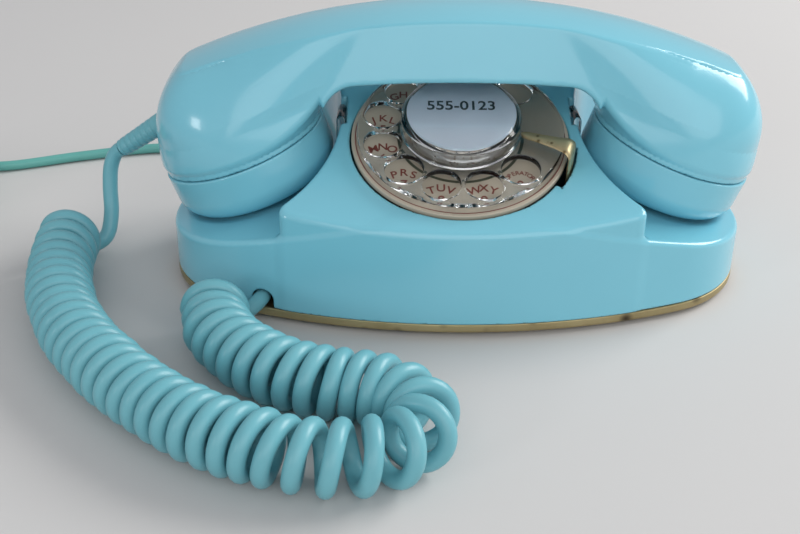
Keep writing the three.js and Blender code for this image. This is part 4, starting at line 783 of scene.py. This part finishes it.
def handset_body(x, y, z):
    far = np.abs(x)
    beside = np.abs(y - HANDSET_Y)
    crease = HANDLE_TOP - HANDLE_TOP_RADIUS + np.sqrt(np.maximum(HANDLE_TOP_RADIUS**2 - far**2, 1))
    wedge = (beside - (HANDLE_HALF_WIDTH - HANDLE_NARROWING * far) - SIDE_FLARE * (crease - z)) * FLARE_COSINE
    wedge = round_max(wedge, far - HANDLE_REACH, 9.0)
    above, across, _ = cap_frame(x, y, z)
    # The bowl reaches out and up from the seam, rounder towards the end than towards the handle.
    rise = np.clip(above, 0, 36.9)
    out_reach = BOWL_RADIUS * (1 - (rise / BOWL_RISE) ** 2.2) ** 0.5556 - 1.3 * np.clip(rise / 14, 0, 1)
    in_reach = BOWL_RADIUS + 30 * np.clip((above - 10) / 23, 0, 1) ** 1.5
    half = 13.9 + 16.2 * (1 - np.clip(rise / 33.2, 0, 1) ** 2.2) ** 0.8
    reach = np.where(across > 0, out_reach, in_reach)
    power = 2 + 1.1 * np.clip((rise - 12) / 20, 0, 1)
    bowl = power_blend(np.abs(across) / np.maximum(reach, 1), beside / half, power) - 1
    bowl = bowl * np.minimum(half, np.maximum(reach, 8))
    bowl = np.maximum(bowl, above - 36.5)
    body = round_min(wedge, bowl, 3 + 8 * np.clip((32 - above) / 16, 0, 1))
    crown = z - (crease + CROWN_RISE) + (CROWN_RADIUS - np.sqrt(CROWN_RADIUS**2 - np.minimum(beside, 30) ** 2))
    body = round_max(body, crown, 0.9)
    # Near the seam the bowl is as round as the cap under it.
    skirt = np.hypot(across, beside) - 30.1 - 1.1 * np.maximum(above - 2, 0) - 3 * np.maximum(48 - far, 0)
    body = round_max(body, skirt, 2.5)
    under = HANDLE_BOTTOM - HANDLE_BOTTOM_RADIUS + np.sqrt(HANDLE_BOTTOM_RADIUS**2 - np.minimum(far, 60) ** 2)
    tunnel = round_max(far - TUNNEL_REACH, z - under, TUNNEL_ROUNDING)
    return round_max(body, -tunnel, 2.0)


relief_length = float(np.linalg.norm(RELIEF_TIP - RELIEF_ROOT))


def relief_frame(x, y, z):
    dx, dy, dz = x - RELIEF_ROOT[0], y - RELIEF_ROOT[1], z - RELIEF_ROOT[2]
    along = dx * relief_axis[0] + dy * relief_axis[1] + dz * relief_axis[2]
    away = np.sqrt(np.maximum(dx**2 + dy**2 + dz**2 - along**2, 0))
    return along, away


def handset_field(x, y, z):
    body = handset_body(x, y, z)
    above, _, _ = cap_frame(x, y, z)
    shell = np.maximum(body, -(body + HANDLE_WALL))
    shell = round_max(shell, 0.15 - above, 0.45)
    along, away = relief_frame(x, y, z)
    hole = np.maximum(away - RELIEF_ROOT_RADIUS - 0.3, -along)
    return round_max(shell, -hole, 0.4)


handset_skin = carved("handset_skin", handset_field, (-108, -27.2, 37), (108, 34, 98.6), 0.75)
placed(handset_skin, aqua, "handset", "aqua_plastic", "handset_shell")


CAP_WALL, GROOVE_RADIUS, CAP_HOLE_RADIUS = 2.4, 22.5, 1.2


def cap_field(hole_rings):
    def field(x, y, z):
        above, across, beside = cap_frame(x, y, z)
        down, away = -above, np.hypot(across, beside)
        skin = round_max(away - CAP_RADIUS, down - CAP_DEPTH, CAP_ROUNDING)
        inside = round_max(away - CAP_RADIUS + CAP_WALL, down - CAP_DEPTH + CAP_WALL, CAP_ROUNDING - CAP_WALL)
        cap = np.maximum(skin, -inside)
        cap = round_max(cap, 0.15 - down, 0.45)
        groove = np.abs(away - GROOVE_RADIUS) - 0.25
        cap = round_max(cap, -np.maximum(groove, CAP_DEPTH - 0.5 - down), 0.2)
        for number, radius in hole_rings:
            for i in range(number):
                angle = 2 * math.pi * i / number
                hole = np.hypot(across - radius * math.cos(angle), beside - radius * math.sin(angle))
                cap = round_max(cap, -np.maximum(hole - CAP_HOLE_RADIUS, 10 - down), 0.3)
        return cap
    return field


def box_around(node, margin):
    low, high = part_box(node)
    return [v / MM - margin for v in low], [v / MM + margin for v in high]


for cap_name, node, hole_rings in (
    ("ear_cap", "receiver_cap", [(1, 0), (6, 6)]),
    ("mouth_cap", "transmitter_cap", [(1, 0), (8, 8)]),
):
    cap = carved(cap_name, cap_field(hole_rings), *box_around(node, 0.3), 0.6, 90000)
    placed(cap, aqua, "handset", "aqua_plastic", node)

# ---------- strain relief
# A tapered sleeve of the cord's own vinyl, moulded on with shallow rings, holds the cord where it
# leaves the handset.
cord_vinyl = finish("teal_cord_vinyl", (0.165, 0.45, 0.515), (0.14, 0.41, 0.48), 0.34, patch_size=30, patches=0.7,
                    smudges=0.15, grain_size=1400, specular=0.45)


def relief_field(x, y, z):
    along, away = relief_frame(x, y, z)
    share = np.clip(along / relief_length, 0, 1)
    radius = RELIEF_ROOT_RADIUS + (3.3 - RELIEF_ROOT_RADIUS) * share
    radius = radius - 0.32 * (share > 0.35) * np.clip(np.cos(along * 2 * math.pi / 2.6), 0, 1)
    return round_max(away - radius, np.abs(along - relief_length / 2) - relief_length / 2, 0.7)


strain_sleeve = carved("strain_sleeve", relief_field, *box_around("handset_strain_relief", 0.5), 0.3, 60000)
placed(strain_sleeve, cord_vinyl, "handset", "aqua_cord", "handset_strain_relief")

# ---------- handset cord
# Curly cord of satin teal vinyl: a straight lead out of the handset's strain relief, a left-handed
# helix that lies on the table in a J, and a straight tail into the arch in the housing's front wall.


def mixed(a, b, start, end, t):
    return (end - t) / (end - start) * a + (t - start) / (end - start) * b


def eased_line(points, spacing):
    """Points close together along a smooth curve through the given ones."""
    p = np.asarray(points, float)
    p = np.vstack([2 * p[0] - p[1], p, 2 * p[-1] - p[-2]])
    knots = np.concatenate([[0], np.cumsum(steps_along(p) ** 0.5)])
    out = []
    for i in range(1, len(p) - 2):
        t0, t1, t2, t3 = knots[i - 1 : i + 3]
        count = max(2, int(np.linalg.norm(p[i + 1] - p[i]) / spacing) + 1)
        for t in np.linspace(t1, t2, count, endpoint=False):
            a1 = mixed(p[i - 1], p[i], t0, t1, t)
            a2 = mixed(p[i], p[i + 1], t1, t2, t)
            a3 = mixed(p[i + 1], p[i + 2], t2, t3, t)
            out.append(mixed(mixed(a1, a2, t0, t2, t), mixed(a2, a3, t1, t3, t), t1, t2, t))
    out.append(p[-2])
    return np.array(out)


def sweep_tree():
    """A node tree that sweeps a round section along a line of points."""
    tree, given, result = new_group(
        "round_section_along_line", "GeometryNodeTree",
        {"Line": "Geometry", "Diameter": "Float", "Sides": "Int", "Material": "Material"}, {"Sweep": "Geometry"})
    radius = add_math(tree, "MULTIPLY", given["Diameter"], 0.5)
    curve = add_node(tree, "GeometryNodeMeshToCurve", {"Mesh": given["Line"]})
    section = add_node(tree, "GeometryNodeCurvePrimitiveCircle", {"Resolution": given["Sides"], "Radius": radius})
    sweep = add_node(tree, "GeometryNodeCurveToMesh", {
        "Curve": curve.outputs["Curve"], "Profile Curve": section.outputs["Curve"], "Fill Caps": True})
    realized = add_node(tree, "GeometryNodeRealizeInstances", {"Geometry": sweep.outputs["Mesh"]})
    dressed = add_node(tree, "GeometryNodeSetMaterial", {
        "Geometry": realized.outputs["Geometry"], "Material": given["Material"]})
    feed(tree, result, {"Sweep": dressed.outputs["Geometry"]})
    return tree


round_sweep = sweep_tree()


def tube(name, line, diameter, sides, material):
    """A closed tube of round section around a line of points, in metres."""
    mesh = bpy.data.meshes.new(name)
    mesh.from_pydata([tuple(p) for p in line], [(i, i + 1) for i in range(len(line) - 1)], [])
    piece = object_of(name, mesh)
    sweep = piece.modifiers.new("sweep", "NODES")
    sweep.node_group = round_sweep
    given = {"Diameter": float(diameter), "Sides": sides, "Material": material}
    for socket in round_sweep.interface.items_tree:
        if socket.name in given:
            sweep[socket.identifier] = given[socket.name]
    made_plain(piece).data.shade_smooth()
    return piece


CORD, CORD_SIDES = 5.6, 14
COIL_MEAN_RADIUS, COIL_Z = 8.7, 11.7
lead_route = [
    RELIEF_TIP + 0.3 * relief_axis, RELIEF_TIP + 3 * relief_axis, (-129.2, 19.2, 31), (-130, 16.8, 23),
    (-129.8, 13, 13.5), (-131.2, 8.6, 6.6), (-134.2, 5.8, 4.4),
]
coil_route = [(x, y, COIL_Z) for x, y in [
    (-142, 2), (-141.5, -10), (-140, -25), (-135.5, -45), (-125, -69), (-109, -91), (-94, -106.5),
    (-77, -120), (-62, -127.6), (-49, -132.2), (-36, -133.4), (-24, -130.6), (-15.6, -122.8), (-14.4, -112.4),
    (-21.6, -103.4), (-33, -99), (-45, -96.5), (-59, -90), (-71, -79.5), (-79.5, -66), (-82, -52.5),
]]
tail_route = [
    (-75.2, -48.4, 5.2), (-72.2, -45.8, 6.3), (-69.4, -42.6, 7.4), (-67.8, -39, 8), (-67.5, -35.6, 8.1),
    (-67.5, -32.8, 8.1),
]
axis_line = evened(eased_line(coil_route, 1.0), 0.5)
axis_along = np.arange(len(axis_line)) * 0.5
axis_end = axis_along[-1]
# The turns lie close together, and open out at the start and round the bend at the front.
pitch_at = np.interp(axis_along / axis_end, [0, 0.05, 0.12, 0.5, 0.58, 0.68, 0.76, 0.97, 1.0],
                     [9.0, 8.0, 6.3, 6.3, 9.5, 9.5, 6.4, 6.4, 8.0])
START_PHASE = math.radians(45)
phase_line = START_PHASE + np.concatenate([[0], np.cumsum(2 * math.pi * 0.5 / pitch_at[:-1])])
END_PHASE = 2 * math.pi * round(phase_line[-1] / (2 * math.pi)) + math.radians(20)
phase_line = START_PHASE + (phase_line - START_PHASE) * (END_PHASE - START_PHASE) / (phase_line[-1] - START_PHASE)
POINTS_PER_TURN = 30
phases = np.arange(START_PHASE, END_PHASE, 2 * math.pi / POINTS_PER_TURN)
at = np.interp(phases, phase_line, axis_along)
centre = np.stack([np.interp(at, axis_along, axis_line[:, k]) for k in range(3)], 1)
heading = np.gradient(axis_line, axis=0)
heading /= np.linalg.norm(heading, axis=1)[:, None]
heading = np.stack([np.interp(at, axis_along, heading[:, k]) for k in range(3)], 1)
right = np.cross((0, 0, 1.0), heading)
draw = np.random.default_rng(7)
turns = phases / (2 * math.pi)
loose = np.interp(turns, np.arange(0, turns[-1] + 2), draw.normal(0, 0.22, int(turns[-1]) + 3))
lean = np.interp(turns, np.arange(0, turns[-1] + 2), draw.normal(0, 0.5, int(turns[-1]) + 3))
reach = COIL_MEAN_RADIUS + np.minimum(loose, 0.15)
helix = (centre + right * (reach * np.cos(phases))[:, None]
         - np.array([0, 0, 1.0]) * (reach * np.sin(phases))[:, None] - heading * (lean * np.sin(phases))[:, None])
cord_line = np.vstack([eased_line(lead_route, 1.2)[:-1], helix, eased_line(tail_route, 1.2)[1:]])
cord_line = evened(eased_line(cord_line[::2], 1.2), 1.5) * MM
handset_cord = tube("handset_cord", cord_line, CORD * MM, CORD_SIDES, cord_vinyl)
stands_for(handset_cord, "handset_cord_lead", "handset_cord_coil", "handset_cord_tail")
wears(handset_cord, cord_vinyl)
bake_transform(handset_cord)

# ---------- line cord
# Green-blue vinyl line cord. It leaves the back of the housing, and its spare length is wound into a
# neat ring held by a rubber tie, with the plug beside it.
LINE_CORD, LINE_SIDES = 4.2, 12
line_exit = (-38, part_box("line_cord_grommet")[1].y / MM + 0.3, 9)
store_low, store_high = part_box("line_cord_coil")
store = (store_low + store_high) / 2 / MM
STORE_RADIUS, COLUMNS, ROWS = 25, 3, 4
run_route = [
    line_exit, (-38, line_exit[1] + 6.7, 8), (-40, line_exit[1] + 15.7, 4.4), (-47, line_exit[1] + 27.7, 2.3),
    (-66, 91, 2.3), (-95, 100, 2.3), (-128, 101, 2.3), (-160, 92, 2.3), (-190, 81, 2.3),
    (-208, 79.2, 2.9), (store.x + 2, store.y + 33.4, 3.6),
]
places = [(column if row % 2 else COLUMNS - 1 - column, row)
          for row in range(ROWS) for column in range(COLUMNS)]
TURN_POINTS = 24
wound = []
first_angle = math.radians(120)
for angle in np.arange(len(places) * TURN_POINTS) * (2 * math.pi / TURN_POINTS):
    turn_number = angle / (2 * math.pi)
    here = min(int(turn_number), len(places) - 1)
    ahead = min(here + 1, len(places) - 1)
    share = max(0.0, (turn_number - here - 0.86) / 0.14)
    share = share * share * (3 - 2 * share)
    column, row = (a * (1 - share) + b * share for a, b in zip(places[here], places[ahead]))
    radius = STORE_RADIUS + (column - 1) * LINE_CORD
    height = store_low.z / MM + (row + 0.5) * LINE_CORD
    wound.append((store.x + radius * math.cos(first_angle + angle),
                  store.y + radius * math.sin(first_angle + angle), height))
plug_entry = (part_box("plug_body")[0].x / MM - 0.3, -7, 8)
RING_GAP = 0.5
outside = store.x - STORE_RADIUS - (COLUMNS + 1) * LINE_CORD / 2 - RING_GAP
end_route = [
    (outside, store.y - 16, 3.2), (outside + 2, store.y - 34, 3.4),
    (outside + 8, store.y - 46, 5), (plug_entry[0] - 6.7, -7.4, 7.4), plug_entry,
]
# From the last turn the cord comes down the outside of the ring to the table.
line_path = [*run_route, *wound, (outside + 1.2, store.y - 2, 12), (outside, store.y - 9, 6.5), *end_route]
line_line = evened(eased_line(line_path, 2.0), 2.5) * MM
line_vinyl = finish("green_line_vinyl", (0.12, 0.4, 0.36), (0.1, 0.34, 0.32), 0.42, patch_size=30, patches=0.7,
                    smudges=0.15, grain_size=1400)
line_flex = tube("line_cord", line_line, LINE_CORD * MM, LINE_SIDES, line_vinyl)
placed(line_flex, line_vinyl, "base", "green_cord", "line_cord_run", "line_cord_coil", "line_cord_end")
dark_rubber = finish("dark_rubber", (0.022, 0.021, 0.02), (0.05, 0.047, 0.043), 0.62, patch_size=70, patches=0.6,
                     smudges=0.3, grain_size=1600, grain=0.00006, specular=0.35)
line_fittings = [
    eased(node, width, f"moulded_{node}", dark_rubber, "base", "rubber")
    for node, width in (("line_cord_grommet", 0.4), ("cord_tie", 0.5), ("plug_body", 1.2))
]
line_fittings.append(eased("plug_prongs", 0.25, "brass_plug_prongs", satin_brass, "base", "brass"))

# ---------- feet, anchor and screws
# Dark rubber feet stand in holes in the tray, a rubber anchor holds the handset cord inside the
# front wall, and two plated screws hold the housing down.
plated_steel = finish("plated_steel", (0.56, 0.56, 0.57), (0.38, 0.37, 0.35), 0.3, metallic=0.95, patch_size=90,
                      patches=0.6, smudges=0.3, grain_size=2600, spots=0.12,
                      spot_color=(0.16, 0.11, 0.07), spot_size=500)
brown_phenolic = finish("brown_phenolic", (0.035, 0.02, 0.014), (0.055, 0.034, 0.022), 0.38, patch_size=120,
                        patches=0.7, smudges=0.2, grain_size=1300, grain=0.00003)
white_nylon = finish("white_nylon", (0.6, 0.58, 0.5), (0.5, 0.47, 0.38), 0.5, grain_size=1200)
copper_winding = finish("varnished_copper", (0.34, 0.12, 0.05), (0.2, 0.07, 0.03), 0.35, metallic=0.4, coat=0.3,
                        patch_size=200, patches=0.7, smudges=0.2, grain_size=1800, grain=0.00005)
slot_finishes.update(phenolic=brown_phenolic, nylon=white_nylon, winding=copper_winding)
for node in ("foot_front_left", "foot_front_right", "foot_back_left", "foot_back_right", "handset_cord_anchor"):
    eased(node, 0.4, f"moulded_{node}", dark_rubber, "base", "rubber")
for side in ("left", "right"):
    eased(f"housing_screw_{side}", 0.15, f"plated_screw_{side}", plated_steel, "base", "steel")

# ---------- works inside
# The dial's gears and governor, the ringer, the hook switch, the network block and the two capsules
# in the handset are plain pressed, turned and moulded pieces, each in its own metal or plastic.
works = {row["node"]: row["material_slot"] for row in frame["record"]["subparts"]}
body_of_node = {node: body for body, nodes in frame["record"]["behaviour"]["bodies"].items() for node in nodes}
for node in sorted(set(works) - shown_nodes):
    eased(node, 0.2, f"works_{node}", slot_finishes[works[node]], body_of_node[node], works[node])

# ---------- floor and light
# A pale paper floor, soft daylight from the right, and weak light from the room and from the left.
floor = mesh_piece("floor", [(-4, -4, 0), (4, -4, 0), (4, 4, 0), (-4, 4, 0)], [(0, 1, 2, 3)], smooth=False)
wears(floor, finish("pale_paper", (0.62, 0.61, 0.6), (0.58, 0.57, 0.565), 0.6, patch_size=3, patches=0.4,
                    smudges=0.1, specular=0.2))


def area_light(name, place, aim, size, power, colour=(1, 1, 1)):
    lamp = bpy.data.lights.new(name, "AREA")
    lamp.shape = "RECTANGLE"
    lamp.size, lamp.size_y = size
    lamp.energy = power
    lamp.color = colour
    light = object_of(name, lamp)
    light.location = place
    light.rotation_euler = (Vector(aim) - Vector(place)).to_track_quat("-Z", "Y").to_euler()


area_light("window_right", (1.2, 0.45, 0.9), (0.1, 0, 0.03), (1.0, 0.8), 20, (1, 0.99, 0.97))
area_light("room_front", (0.3, -1.7, 1.0), (0, 0, 0.04), (2.4, 1.5), 16, (1, 0.995, 0.985))
area_light("window_left", (-0.95, -0.95, 0.42), (-0.05, 0, 0.05), (0.22, 0.28), 1.6)
world = bpy.data.worlds.new("world")
bpy.context.scene.world = world
world.use_nodes = True
feed(world.node_tree, world.node_tree.nodes["Background"], {"Color": (0.93, 0.95, 1.0, 1), "Strength": 0.46})
bpy.context.scene.view_settings.view_transform = "Standard"
